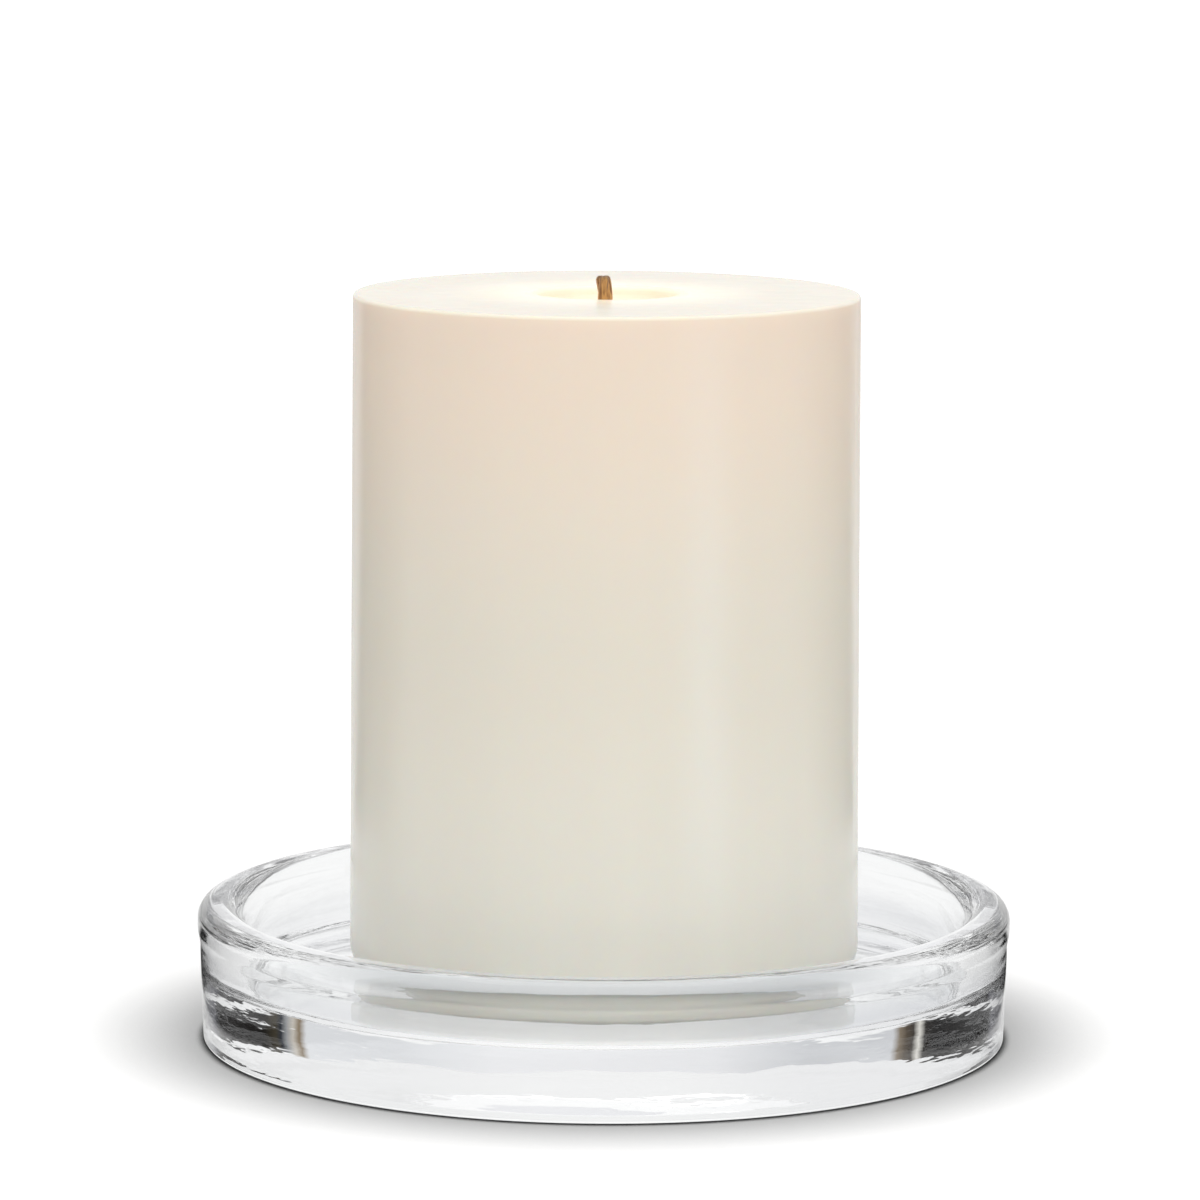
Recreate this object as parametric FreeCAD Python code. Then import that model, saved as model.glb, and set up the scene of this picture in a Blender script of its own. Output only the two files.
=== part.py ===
import FreeCAD, Part
import math
import os

from FreeCAD import Vector

# Candle plate of clear pressed glass, with the flameless pillar candle that stands on it.
# Origin: centre of the plate's foot, on the table. +Z is up and the viewer stands at -Y.
# All sizes are in millimetres.

# Glass plate
PLATE_HEIGHT = 20.4
LIP_RADIUS = 60.8
LIP_FOOT_Z = 16.4
LIP_OUTER_ROUND = 2.3
LIP_INNER_ROUND = 3.2
WALL_TOP_RADIUS = 60.5
WALL_TOP_Z = 14.8
WALL_FOOT_RADIUS = 60.0
FOOT_EDGE_BEVEL = 0.45
MOUTH_RADIUS = 54.0
FLOOR_RADIUS = 53.5
FLOOR_ROUND = 1.8
FLOOR_Z = 9.5
FOOT_RING_RADIUS = 51.5
FOOT_HOLLOW_RADIUS = 20.0
FOOT_HOLLOW_DEPTH = 0.8

# Wax shell
CANDLE_RADIUS = 38.1
CANDLE_HEIGHT = 102.0
CANDLE_FOOT_ROUND = 5.0
CANDLE_FOOT_INSET = 3.04
CANDLE_TOP_ROUND = 0.6
CAVITY_RADIUS = 33.2
CAVITY_TOP_BEVEL = 4.0
SEAT_RADIUS = 33.8
CROWN_THICKNESS = 7.0
DISH_RADIUS = 11.0
DISH_DEPTH = 3.0
DISH_SIDE_INSET = 1.7
DISH_SIDE_DROP = 1.9
LENS_HOLE_RADIUS = 6.0

# Wick and glow lens
WICK_RADIUS = 1.1
WICK_RISE = 2.5
WICK_SOCKET = 2.6
WICK_TIP_CHAMFER = 0.25
LENS_PLUG_GAP = 0.15
LENS_FLANGE_RADIUS = 8.0
LENS_FLANGE_THICKNESS = 2.0
LENS_POCKET_RADIUS = 3.3
LENS_POCKET_DEPTH = 2.8

# Five millimetre bulb on the top of the module
BULB_RADIUS = 2.5
BULB_RIM_RADIUS = 2.9
BULB_RIM_HEIGHT = 1.0
BULB_BODY_HEIGHT = 5.1
BULB_SEAT_Z = 96.0
LEG_SIDE = 0.5
LEG_PITCH = 2.54
LEG_LENGTH = 9.0

# Base housing: a round flange with a well for two AA cells
FLANGE_RADIUS = 33.6
FLANGE_BOTTOM_Z = 10.8
FLANGE_TOP_Z = 13.0
RIM_BOTTOM_Z = 9.9
RIM_THICKNESS = 1.2
WELL_HALF_LENGTH = 27.9
WELL_HALF_WIDTH = 15.0
WELL_CORNER_ROUND = 1.5
HOUSING_WALL = 1.5
WELL_CEILING_Z = 28.2
ROOF_Z = 29.7
DOOR_STOP_REACH = 1.0
DOOR_STOP_HEIGHT = 1.0
DOOR_STOP_Y = 12.6
DOOR_STOP_HALF_WIDTH = 2.4
DOOR_STOP_GAP = 0.2
CELL_RIB_WIDTH = 0.6
CELL_RIB_HEIGHT = 4.5
CELL_RIB_HALF_LENGTH = 20.0
FLANGE_RIB_X = (-18, -12, 12, 18)
FLANGE_RIB_THICKNESS = 1.2
FLANGE_RIB_RISE = 9.0
OVERLAP = 0.5

# Cells and contacts
CELL_RADIUS = 7.1
CELL_LENGTH = 50.5
CELL_NUB_LENGTH = 1.3
CELL_NUB_RADIUS = 2.7
CELL_AXIS_Z = 20.4
CELL_AXIS_Y = 7.55
CELL_EDGE_BEVEL = 0.5
CELL_DENT_INSET = 1.6
CELL_DENT_DEPTH = 0.3
PLATE_METAL = 0.4
PLATE_HALF_HEIGHT = 5.0
PLATE_HALF_WIDTH = 5.5
PLATE_CORNER_ROUND = 1.0
TAB_WIDTH = 3.0
TAB_REACH = 31.0
TAB_Z = 24.0
TAB_SLOT_GAP = 0.2
BOW_HALF_HEIGHT = 4.0
BOW_WIDTH = 5.0
BOW_METAL = 0.3
BOW_FREE_END_GAP = 0.4

# Battery door on two round-nosed lugs, with a sprung latch tab
DOOR_GAP = 0.3
DOOR_HINGE_END_GAP = 0.6
DOOR_SWING_RELIEF = 2.4
DOOR_THICKNESS = 1.8
HINGE_X = -28.6
HINGE_Z = 11.7
LUG_RADIUS = 0.9
LUG_POCKET_RADIUS = 1.1
LUG_NECK = 1.0
LUG_HALF_WIDTH = 3.0
LUG_Y = 9.0
POCKET_SIDE_GAP = 0.3
POCKET_MOUTH_GAP = 0.15
POCKET_SHELF = 0.1
POCKET_BOSS_HALF_WIDTH = 4.3
POCKET_BOSS_HEIGHT = 1.3
POCKET_BOSS_WAX_GAP = 0.3
LATCH_HALF_WIDTH = 4.5
LATCH_LENGTH = 8.6
LATCH_SLIT = 1.0
LATCH_NIB = 0.5
LATCH_NIB_HEIGHT = 0.7
LATCH_NIB_RISE = 0.2
LATCH_WINDOW_GAP = 0.5
THUMB_RECESS_RADIUS = 5.5
THUMB_RECESS_DEPTH = 1.1

# Slide switch beside the well
SWITCH_Y = 24.6
SWITCH_HALF_LENGTH = 6.5
SWITCH_HALF_WIDTH = 3.1
SWITCH_HEIGHT = 5.2
SWITCH_CORNER_ROUND = 0.5
SWITCH_FLOOR = 1.0
SWITCH_TRAVEL = 4.0
KNOB_HALF_LENGTH = 2.0
KNOB_HALF_WIDTH = 1.5
KNOB_BOTTOM_Z = 10.1
KNOB_GAP = 0.2
KNOB_GROOVES = 3
KNOB_GROOVE_PITCH = 1.1
KNOB_GROOVE_RADIUS = 0.28
SLIDER_FOOT_HALF_LENGTH = 2.9
SLIDER_FOOT_HALF_WIDTH = 2.0
SLIDER_FOOT_HEIGHT = 1.2
SWITCH_FENCE = 1.0
SWITCH_FENCE_HEIGHT = 2.6
SWITCH_TERMINAL_X = 2.5
SWITCH_TERMINAL_HEIGHT = 1.4
SWITCH_TERMINAL_METAL = 0.4
SWITCH_TERMINAL_WIDTH = 1.2

# Circuit board on two posts
BOARD_RADIUS = 13.4
BOARD_BOTTOM_Z = 34.0
BOARD_THICKNESS = 1.2
BOARD_POST_X = 9.6
POST_RADIUS = 2.2
BOARD_HOLE_RADIUS = 1.15

# Chip, capacitor and resistors on the board
CHIP_Y = -6.4
CHIP_LENGTH = 5.0
CHIP_WIDTH = 4.0
CHIP_HEIGHT = 1.4
CHIP_STANDOFF = 0.15
CHIP_BEVEL = 0.3
CHIP_LEGS_PER_SIDE = 4
CHIP_LEG_PITCH = 1.27
CHIP_LEG_WIDTH = 0.4
CHIP_LEG_METAL = 0.24
CHIP_LEG_REACH = 2.82
CHIP_LEG_SHOULDER = 0.82
CAN_X = -5.0
CAN_Y = 5.6
CAN_RADIUS = 2.5
CAN_HEIGHT = 7.5
CAN_TOP_BEVEL = 0.4
CAN_WAIST_RISE = 1.5
CAN_WAIST_DEPTH = 0.2
CAN_WAIST_HALF_HEIGHT = 0.3
RESISTOR_X = 5.4
RESISTOR_Y = (-3.4, 3.0, 5.6)
RESISTOR_LENGTH = 3.2
RESISTOR_WIDTH = 1.6
RESISTOR_HEIGHT = 0.6

# Module cover: skirt over the board and a chimney for the bulb
COVER_SKIRT_RADIUS = 16.0
COVER_SHOULDER_Z = 45.0
COVER_NECK_Z = 53.0
CHIMNEY_FOOT_RADIUS = 7.0
CHIMNEY_TOP_RADIUS = 5.6
COVER_WALL = 1.4
EAR_X = 20.0
EAR_RADIUS = 3.3
EAR_THICKNESS = 2.0
EAR_BOSS_HEIGHT = 5.0
EAR_BOSS_RADIUS = 2.8
MOUSE_HOLE_HALF_WIDTH = 1.3
MOUSE_HOLE_REACH = 5.0
BULB_HOLE_GAP = 0.05

# Screws and wires
SCREW_SHANK_RADIUS = 0.95
SCREW_LENGTH = 5.0
SCREW_HEAD_RADIUS = 1.9
SCREW_HEAD_HEIGHT = 1.3
SCREW_HEAD_BEVEL = 0.5
SCREW_HOLE_SPARE = 0.6
WIRE_RADIUS = 0.6
WIRE_BEND = 3.0
WIRE_UP_X = 30.2
WIRE_PAD = 9.3

CANDLE_TOP_Z = FLOOR_Z + CANDLE_HEIGHT
CEILING_Z = CANDLE_TOP_Z - CROWN_THICKNESS
DISH_Z = CANDLE_TOP_Z - DISH_DEPTH
BOARD_TOP_Z = BOARD_BOTTOM_Z + BOARD_THICKNESS
WIRE_LEVEL_Z = BOARD_TOP_Z + WIRE_RADIUS
UP = Vector(0, 0, 1)
ALONG_X = Vector(1, 0, 0)
ALONG_Y = Vector(0, 1, 0)


# Shapes used again and again

def at(radius, height):
    """A point of a turned profile."""
    return Vector(radius, 0, height)


def line(start, end):
    return Part.makeLine(start, end)


def arc(start, middle, end):
    return Part.Arc(start, middle, end).toShape()


def arc_about(centre, radius, start_degrees, end_degrees):
    """An arc in the XZ plane, its angles counted from +X towards +Z."""
    middle_degrees = (start_degrees + end_degrees) / 2
    points = [
        centre + Vector(radius * math.cos(math.radians(a)), 0, radius * math.sin(math.radians(a)))
        for a in (start_degrees, middle_degrees, end_degrees)
    ]
    return arc(*points)


def turned(edges):
    """A full turn about Z of a closed profile in the XZ plane."""
    face = Part.Face(Part.Wire(edges))
    return face.revolve(Vector(0, 0, 0), UP, 360)


def turned_polygon(points):
    """A full turn of a straight-sided profile given as (radius, height) pairs."""
    corners = [at(*point) for point in points]
    corners.append(corners[0])
    return turned([line(a, b) for a, b in zip(corners, corners[1:])])


def corner_arc(before, corner, after, radius):
    """The start, middle and end of the arc that rounds a corner."""
    inward = (before - corner).normalize()
    outward = (after - corner).normalize()
    half_angle = inward.getAngle(outward) / 2
    setback = radius / math.tan(half_angle)
    centre = corner + (inward + outward).normalize() * (radius / math.sin(half_angle))
    middle = centre + (corner - centre).normalize() * radius
    return corner + inward * setback, middle, corner + outward * setback


def turned_rounded(corners):
    """A full turn of a profile of (radius, height, rounding) corners that starts on the axis."""
    points = [at(radius, height) for radius, height, rounding in corners]
    points.append(points[0])
    edges = []
    last = points[0]
    for index in range(1, len(corners)):
        rounding = corners[index][2]
        if rounding:
            start, middle, end = corner_arc(points[index - 1], points[index], points[index + 1], rounding)
            edges += [line(last, start), arc(start, middle, end)]
            last = end
        else:
            edges.append(line(last, points[index]))
            last = points[index]
    edges.append(line(last, points[0]))
    return turned(edges)


def block(x_low, x_high, y_low, y_high, z_low, z_high):
    box = Part.makeBox(x_high - x_low, y_high - y_low, z_high - z_low)
    box.translate(Vector(x_low, y_low, z_low))
    return box


def centred_block(centre, half_x, half_y, half_z):
    return block(centre.x - half_x, centre.x + half_x, centre.y - half_y, centre.y + half_y,
                 centre.z - half_z, centre.z + half_z)


def post(x, y, z_low, z_high, radius):
    return Part.makeCylinder(radius, z_high - z_low, Vector(x, y, z_low))


def upright_edges(shape):
    """The straight edges of a shape that run along Z."""
    found = []
    for edge in shape.Edges:
        ends = [vertex.Point for vertex in edge.Vertexes]
        if len(ends) == 2 and abs((ends[1] - ends[0]).normalize().z) > 0.999:
            found.append(edge)
    return found


def rounded_block(half_x, half_y, z_low, z_high, corner):
    """A block centred on Z with its upright corners rounded."""
    box = block(-half_x, half_x, -half_y, half_y, z_low, z_high)
    return box.makeFillet(corner, upright_edges(box))


def tube_along(edges, radius):
    """A round wire along straight runs and bends that meet without a kink."""
    pieces = []
    for edge in edges:
        start = edge.valueAt(edge.FirstParameter)
        heading = edge.tangentAt(edge.FirstParameter)
        disc = Part.Face(Part.Wire(Part.makeCircle(radius, start, heading)))
        if edge.Curve.TypeId == "Part::GeomLine":
            pieces.append(disc.extrude(edge.valueAt(edge.LastParameter) - start))
        else:
            sweep = math.degrees(edge.LastParameter - edge.FirstParameter)
            pieces.append(disc.revolve(edge.Curve.Center, edge.Curve.Axis, sweep))
    return pieces[0].fuse(pieces[1:])


def wire_route(points, bend):
    """Straight runs through the points, with every corner turned on an arc of the bend radius."""
    edges = []
    last = points[0]
    for before, corner, after in zip(points, points[1:], points[2:]):
        start, middle, end = corner_arc(before, corner, after, bend)
        edges += [line(last, start), arc(start, middle, end)]
        last = end
    edges.append(line(last, points[-1]))
    return edges


def insulated_wire(points):
    return tube_along(wire_route(points, WIRE_BEND), WIRE_RADIUS)


def pan_head_screw(x, y, seat_z):
    """A screw whose bevelled head sits on seat_z."""
    head_z = seat_z + SCREW_HEAD_HEIGHT
    screw = turned_polygon([
        (0, seat_z - SCREW_LENGTH),
        (SCREW_SHANK_RADIUS, seat_z - SCREW_LENGTH),
        (SCREW_SHANK_RADIUS, seat_z),
        (SCREW_HEAD_RADIUS, seat_z),
        (SCREW_HEAD_RADIUS, head_z - SCREW_HEAD_BEVEL),
        (SCREW_HEAD_RADIUS - SCREW_HEAD_BEVEL, head_z),
        (0, head_z),
    ])
    screw.translate(Vector(x, y, 0))
    return screw


# Plate

def glass_plate():
    """One pressed piece: thick floor, drafted wall, stepped lip and a shallow hollow foot."""
    return turned_rounded([
        (0, FOOT_HOLLOW_DEPTH, 0),
        (FOOT_HOLLOW_RADIUS, FOOT_HOLLOW_DEPTH, 0),
        (FOOT_RING_RADIUS, 0, 0),
        (WALL_FOOT_RADIUS - FOOT_EDGE_BEVEL, 0, 0),
        (WALL_FOOT_RADIUS, FOOT_EDGE_BEVEL, 0),
        (WALL_TOP_RADIUS, WALL_TOP_Z, 0),
        (LIP_RADIUS, LIP_FOOT_Z, 0),
        (LIP_RADIUS, PLATE_HEIGHT, LIP_OUTER_ROUND),
        (MOUTH_RADIUS, PLATE_HEIGHT, LIP_INNER_ROUND),
        (FLOOR_RADIUS, FLOOR_Z, FLOOR_ROUND),
        (0, FLOOR_Z, 0),
    ])


# Wax shell, wick and lens

def wax_shell():
    """A moulded wax pillar, hollow from below, with a shallow dish melted into its crown."""
    foot_fall = math.sqrt(CANDLE_FOOT_ROUND**2 - (CANDLE_FOOT_ROUND - CANDLE_FOOT_INSET) ** 2)
    foot_centre = at(CANDLE_RADIUS - CANDLE_FOOT_ROUND, FLOOR_Z + foot_fall)
    foot_degrees = -math.degrees(math.asin(foot_fall / CANDLE_FOOT_ROUND))
    foot_edge = at(CANDLE_RADIUS - CANDLE_FOOT_INSET, FLOOR_Z)
    top_centre = at(CANDLE_RADIUS - CANDLE_TOP_ROUND, CANDLE_TOP_Z - CANDLE_TOP_ROUND)
    dish_rim = at(DISH_RADIUS, CANDLE_TOP_Z)
    dish_floor = at(LENS_HOLE_RADIUS, DISH_Z)
    dish_side = at(DISH_RADIUS - DISH_SIDE_INSET, CANDLE_TOP_Z - DISH_SIDE_DROP)
    ceiling_edge = at(CAVITY_RADIUS - CAVITY_TOP_BEVEL, CEILING_Z)
    cavity_shoulder = at(CAVITY_RADIUS, CEILING_Z - CAVITY_TOP_BEVEL)
    return turned([
        line(at(SEAT_RADIUS, FLOOR_Z), foot_edge),
        arc_about(foot_centre, CANDLE_FOOT_ROUND, foot_degrees, 0),
        line(at(CANDLE_RADIUS, foot_centre.z), at(CANDLE_RADIUS, top_centre.z)),
        arc_about(top_centre, CANDLE_TOP_ROUND, 0, 90),
        line(at(top_centre.x, CANDLE_TOP_Z), dish_rim),
        arc(dish_rim, dish_side, dish_floor),
        line(dish_floor, at(LENS_HOLE_RADIUS, CEILING_Z)),
        line(at(LENS_HOLE_RADIUS, CEILING_Z), ceiling_edge),
        line(ceiling_edge, cavity_shoulder),
        line(cavity_shoulder, at(CAVITY_RADIUS, FLANGE_TOP_Z)),
        line(at(CAVITY_RADIUS, FLANGE_TOP_Z), at(SEAT_RADIUS, FLANGE_TOP_Z)),
        line(at(SEAT_RADIUS, FLANGE_TOP_Z), at(SEAT_RADIUS, FLOOR_Z)),
    ])


def glow_lens():
    """The clear plug that fills the hole in the dish and carries the wick."""
    plug_radius = LENS_HOLE_RADIUS - LENS_PLUG_GAP
    bottom_z = CEILING_Z - LENS_FLANGE_THICKNESS
    lens = turned_polygon([
        (0, bottom_z),
        (LENS_FLANGE_RADIUS, bottom_z),
        (LENS_FLANGE_RADIUS, CEILING_Z),
        (plug_radius, CEILING_Z),
        (plug_radius, DISH_Z),
        (0, DISH_Z),
    ])
    pocket = turned_polygon([
        (0, bottom_z),
        (LENS_POCKET_RADIUS, bottom_z),
        (LENS_POCKET_RADIUS, bottom_z + LENS_POCKET_DEPTH / 2),
        (LENS_POCKET_RADIUS / 2, bottom_z + LENS_POCKET_DEPTH),
        (0, bottom_z + LENS_POCKET_DEPTH),
    ])
    socket = post(0, 0, DISH_Z - WICK_SOCKET, DISH_Z, WICK_RADIUS)
    return lens.cut([pocket, socket])


def wick():
    rod = post(0, 0, DISH_Z - WICK_SOCKET, CANDLE_TOP_Z + WICK_RISE, WICK_RADIUS)
    return rod.makeChamfer(WICK_TIP_CHAMFER, [rod.Edges[0]])


# Bulb

def led_bulb():
    """A five millimetre bulb: rim, body and dome."""
    rim_z = BULB_SEAT_Z - BULB_RIM_HEIGHT
    dome_centre = at(0, BULB_SEAT_Z + BULB_BODY_HEIGHT)
    body_top = at(BULB_RADIUS, dome_centre.z)
    return turned([
        line(at(0, rim_z), at(BULB_RIM_RADIUS, rim_z)),
        line(at(BULB_RIM_RADIUS, rim_z), at(BULB_RIM_RADIUS, BULB_SEAT_Z)),
        line(at(BULB_RIM_RADIUS, BULB_SEAT_Z), at(BULB_RADIUS, BULB_SEAT_Z)),
        line(at(BULB_RADIUS, BULB_SEAT_Z), body_top),
        arc_about(dome_centre, BULB_RADIUS, 0, 90),
        line(dome_centre + UP * BULB_RADIUS, at(0, rim_z)),
    ])


def led_legs():
    top_z = BULB_SEAT_Z - BULB_RIM_HEIGHT
    legs = [
        block(side * LEG_PITCH / 2 - LEG_SIDE / 2, side * LEG_PITCH / 2 + LEG_SIDE / 2,
              -LEG_SIDE / 2, LEG_SIDE / 2, top_z - LEG_LENGTH, top_z)
        for side in (-1, 1)
    ]
    return Part.makeCompound(legs)


def led_wires():
    """Two wires that stand straight up the chimney, from the board to the bulb's legs."""
    leg_foot_z = BULB_SEAT_Z - BULB_RIM_HEIGHT - LEG_LENGTH
    return Part.makeCompound([
        post(side * LEG_PITCH / 2, 0, BOARD_TOP_Z, leg_foot_z, WIRE_RADIUS) for side in (-1, 1)
    ])


# Base housing

def cell_well():
    return rounded_block(WELL_HALF_LENGTH, WELL_HALF_WIDTH, RIM_BOTTOM_Z - OVERLAP, WELL_CEILING_Z,
                         WELL_CORNER_ROUND)


def lug_pocket(y, grow):
    """The round-bottomed pocket, open below, that takes one lug of the door."""
    y_low = y - LUG_HALF_WIDTH - grow
    y_high = y + LUG_HALF_WIDTH + grow
    inner_x = -WELL_HALF_LENGTH + OVERLAP
    start = Vector(HINGE_X, y_low, HINGE_Z)
    pocket = Part.makeCylinder(LUG_POCKET_RADIUS, y_high - y_low, start, ALONG_Y)
    mouth_x = HINGE_X - LUG_NECK / 2 - POCKET_MOUTH_GAP
    mouth = block(mouth_x, inner_x, y_low, y_high, RIM_BOTTOM_Z, HINGE_Z)
    inside = block(HINGE_X, inner_x, y_low, y_high, HINGE_Z - POCKET_SHELF, HINGE_Z + LUG_POCKET_RADIUS)
    return pocket.fuse([mouth, inside])


def switch_fence():
    """The low fence that the slide switch drops into."""
    outer_x = SWITCH_HALF_LENGTH + SWITCH_FENCE
    outer_y = SWITCH_HALF_WIDTH + SWITCH_FENCE
    top_z = FLANGE_TOP_Z + SWITCH_FENCE_HEIGHT
    fence = block(-outer_x, outer_x, SWITCH_Y - outer_y, SWITCH_Y + outer_y, FLANGE_TOP_Z, top_z)
    seat = block(-SWITCH_HALF_LENGTH, SWITCH_HALF_LENGTH, SWITCH_Y - SWITCH_HALF_WIDTH,
                 SWITCH_Y + SWITCH_HALF_WIDTH, FLANGE_TOP_Z, top_z)
    return fence.cut(seat)


def flange_ribs():
    """Stiffening ribs between the well and the flange's edge."""
    ribs = []
    foot_y = WELL_HALF_WIDTH + HOUSING_WALL - OVERLAP
    foot_z = FLANGE_TOP_Z - OVERLAP
    for x in FLANGE_RIB_X:
        x_low = x - FLANGE_RIB_THICKNESS / 2
        reach = math.sqrt((FLANGE_RADIUS - RIM_THICKNESS) ** 2 - x**2)
        for side in (-1, 1):
            corners = [
                Vector(x_low, side * foot_y, foot_z),
                Vector(x_low, side * reach, foot_z),
                Vector(x_low, side * foot_y, FLANGE_TOP_Z + FLANGE_RIB_RISE),
            ]
            face = Part.Face(Part.makePolygon(corners + corners[:1]))
            ribs.append(face.extrude(ALONG_X * FLANGE_RIB_THICKNESS))
    return ribs


def pocket_boss(side):
    """The raised block over one hinge pocket, trimmed to clear the wax."""
    y = side * LUG_Y
    boss = block(-FLANGE_RADIUS, -WELL_HALF_LENGTH - HOUSING_WALL + OVERLAP,
                 y - POCKET_BOSS_HALF_WIDTH, y + POCKET_BOSS_HALF_WIDTH,
                 FLANGE_TOP_Z - OVERLAP, FLANGE_TOP_Z + POCKET_BOSS_HEIGHT)
    room = post(0, 0, FLANGE_BOTTOM_Z, WELL_CEILING_Z, CAVITY_RADIUS - POCKET_BOSS_WAX_GAP)
    return boss.common(room)


def well_space():
    """The space that is cut for the cells, less the rib between them and the stops for the door."""
    rib = block(-CELL_RIB_HALF_LENGTH, CELL_RIB_HALF_LENGTH, -CELL_RIB_WIDTH / 2, CELL_RIB_WIDTH / 2,
                WELL_CEILING_Z - CELL_RIB_HEIGHT, WELL_CEILING_Z)
    kept = [rib]
    stop_z = FLANGE_BOTTOM_Z + DOOR_THICKNESS + DOOR_STOP_GAP
    for side in (-1, 1):
        x_low, x_high = sorted((side * (WELL_HALF_LENGTH - DOOR_STOP_REACH), side * WELL_HALF_LENGTH))
        for y in (-DOOR_STOP_Y, DOOR_STOP_Y):
            kept.append(block(x_low, x_high, y - DOOR_STOP_HALF_WIDTH, y + DOOR_STOP_HALF_WIDTH,
                              stop_z, stop_z + DOOR_STOP_HEIGHT))
    return cell_well().cut(kept)


def tab_slot(y):
    """The slot in the end wall that a solder tab passes through."""
    half_width = TAB_WIDTH / 2 + TAB_SLOT_GAP
    return block(WELL_HALF_LENGTH - OVERLAP, TAB_REACH, y - half_width, y + half_width,
                 TAB_Z - TAB_SLOT_GAP, TAB_Z + PLATE_METAL + TAB_SLOT_GAP)


def knob_window():
    reach = KNOB_HALF_LENGTH + SWITCH_TRAVEL / 2 + KNOB_GAP
    half_width = KNOB_HALF_WIDTH + KNOB_GAP
    return block(-reach, reach, SWITCH_Y - half_width, SWITCH_Y + half_width, RIM_BOTTOM_Z, FLANGE_TOP_Z)


def latch_window():
    """The pocket in the end wall that the latch's nib snaps into."""
    half_width = LATCH_HALF_WIDTH + LATCH_WINDOW_GAP
    return block(WELL_HALF_LENGTH - OVERLAP, WELL_HALF_LENGTH + LATCH_NIB, -half_width, half_width,
                 HINGE_Z, HINGE_Z + LATCH_NIB_HEIGHT + LATCH_WINDOW_GAP)


def thumb_recess():
    """The half-round hollow that lets a thumb reach the latch."""
    hollow = post(WELL_HALF_LENGTH, 0, RIM_BOTTOM_Z, FLANGE_BOTTOM_Z + THUMB_RECESS_DEPTH,
                  THUMB_RECESS_RADIUS)
    half_width = THUMB_RECESS_RADIUS + OVERLAP
    outside = block(WELL_HALF_LENGTH - OVERLAP, FLANGE_RADIUS, -half_width, half_width,
                    RIM_BOTTOM_Z, FLANGE_TOP_Z)
    return hollow.common(outside)


def base_housing():
    """Flange, well for the cells, posts for the board and bosses for the cover, in one moulding."""
    flange = post(0, 0, FLANGE_BOTTOM_Z, FLANGE_TOP_Z, FLANGE_RADIUS)
    rim = post(0, 0, RIM_BOTTOM_Z, FLANGE_TOP_Z, FLANGE_RADIUS)
    rim = rim.cut(post(0, 0, RIM_BOTTOM_Z, FLANGE_TOP_Z, FLANGE_RADIUS - RIM_THICKNESS))
    box = rounded_block(WELL_HALF_LENGTH + HOUSING_WALL, WELL_HALF_WIDTH + HOUSING_WALL,
                        FLANGE_BOTTOM_Z, ROOF_Z, WELL_CORNER_ROUND + HOUSING_WALL)
    boss_top_z = ROOF_Z + EAR_BOSS_HEIGHT
    additions = [rim, box, switch_fence()]
    additions += flange_ribs()
    for side in (-1, 1):
        additions.append(post(side * BOARD_POST_X, 0, WELL_CEILING_Z, BOARD_BOTTOM_Z, POST_RADIUS))
        additions.append(post(side * EAR_X, 0, WELL_CEILING_Z, boss_top_z, EAR_BOSS_RADIUS))
        additions.append(pocket_boss(side))
    housing = flange.fuse(additions).removeSplitter()

    swing_relief = block(-WELL_HALF_LENGTH - DOOR_SWING_RELIEF, -WELL_HALF_LENGTH,
                         -WELL_HALF_WIDTH, WELL_HALF_WIDTH, RIM_BOTTOM_Z, FLANGE_BOTTOM_Z)
    cuts = [well_space(), swing_relief, knob_window(), latch_window(), thumb_recess()]
    for side in (-1, 1):
        cuts.append(lug_pocket(side * LUG_Y, POCKET_SIDE_GAP))
        cuts.append(tab_slot(side * CELL_AXIS_Y))
        hole_z = ROOF_Z - SCREW_HOLE_SPARE
        cuts.append(post(side * BOARD_POST_X, 0, hole_z, BOARD_BOTTOM_Z, SCREW_SHANK_RADIUS))
        cuts.append(post(side * EAR_X, 0, ROOF_Z, boss_top_z, SCREW_SHANK_RADIUS))
    return housing.cut(cuts)


# Cells and contacts

def aa_cell(nub_x, y):
    """A cell that lies along X with its nub at nub_x."""
    away = -1 if nub_x > 0 else 1
    shoulder = CELL_LENGTH - CELL_NUB_LENGTH
    can = Part.makeCylinder(CELL_RADIUS, shoulder, Vector(0, 0, 0), ALONG_X)
    can = can.makeChamfer(CELL_EDGE_BEVEL, [can.Edges[0], can.Edges[2]])
    nub = Part.makeCylinder(CELL_NUB_RADIUS, CELL_NUB_LENGTH, Vector(-CELL_NUB_LENGTH, 0, 0), ALONG_X)
    nub = nub.makeChamfer(CELL_EDGE_BEVEL, [nub.Edges[2]])
    dent_start = Vector(shoulder - CELL_DENT_DEPTH, 0, 0)
    dent = Part.makeCylinder(CELL_RADIUS - CELL_DENT_INSET, CELL_DENT_DEPTH, dent_start, ALONG_X)
    cell = can.fuse(nub).cut(dent)
    if away < 0:
        cell.rotate(Vector(0, 0, 0), UP, 180)
    cell.translate(Vector(nub_x + away * CELL_NUB_LENGTH, y, CELL_AXIS_Z))
    return cell


def contact_x(side):
    """The inner face of the contact plates at one end of the well."""
    return side * (WELL_HALF_LENGTH - PLATE_METAL)


def end_plate(side, y_low, y_high):
    x_low, x_high = sorted((contact_x(side), side * WELL_HALF_LENGTH))
    plate = block(x_low, x_high, y_low, y_high,
                  CELL_AXIS_Z - PLATE_HALF_HEIGHT, CELL_AXIS_Z + PLATE_HALF_HEIGHT)
    corners = [
        edge for edge in plate.Edges
        if abs(abs(edge.tangentAt(edge.FirstParameter).x) - 1) < 0.01
    ]
    return plate.makeFillet(PLATE_CORNER_ROUND, corners)


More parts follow.
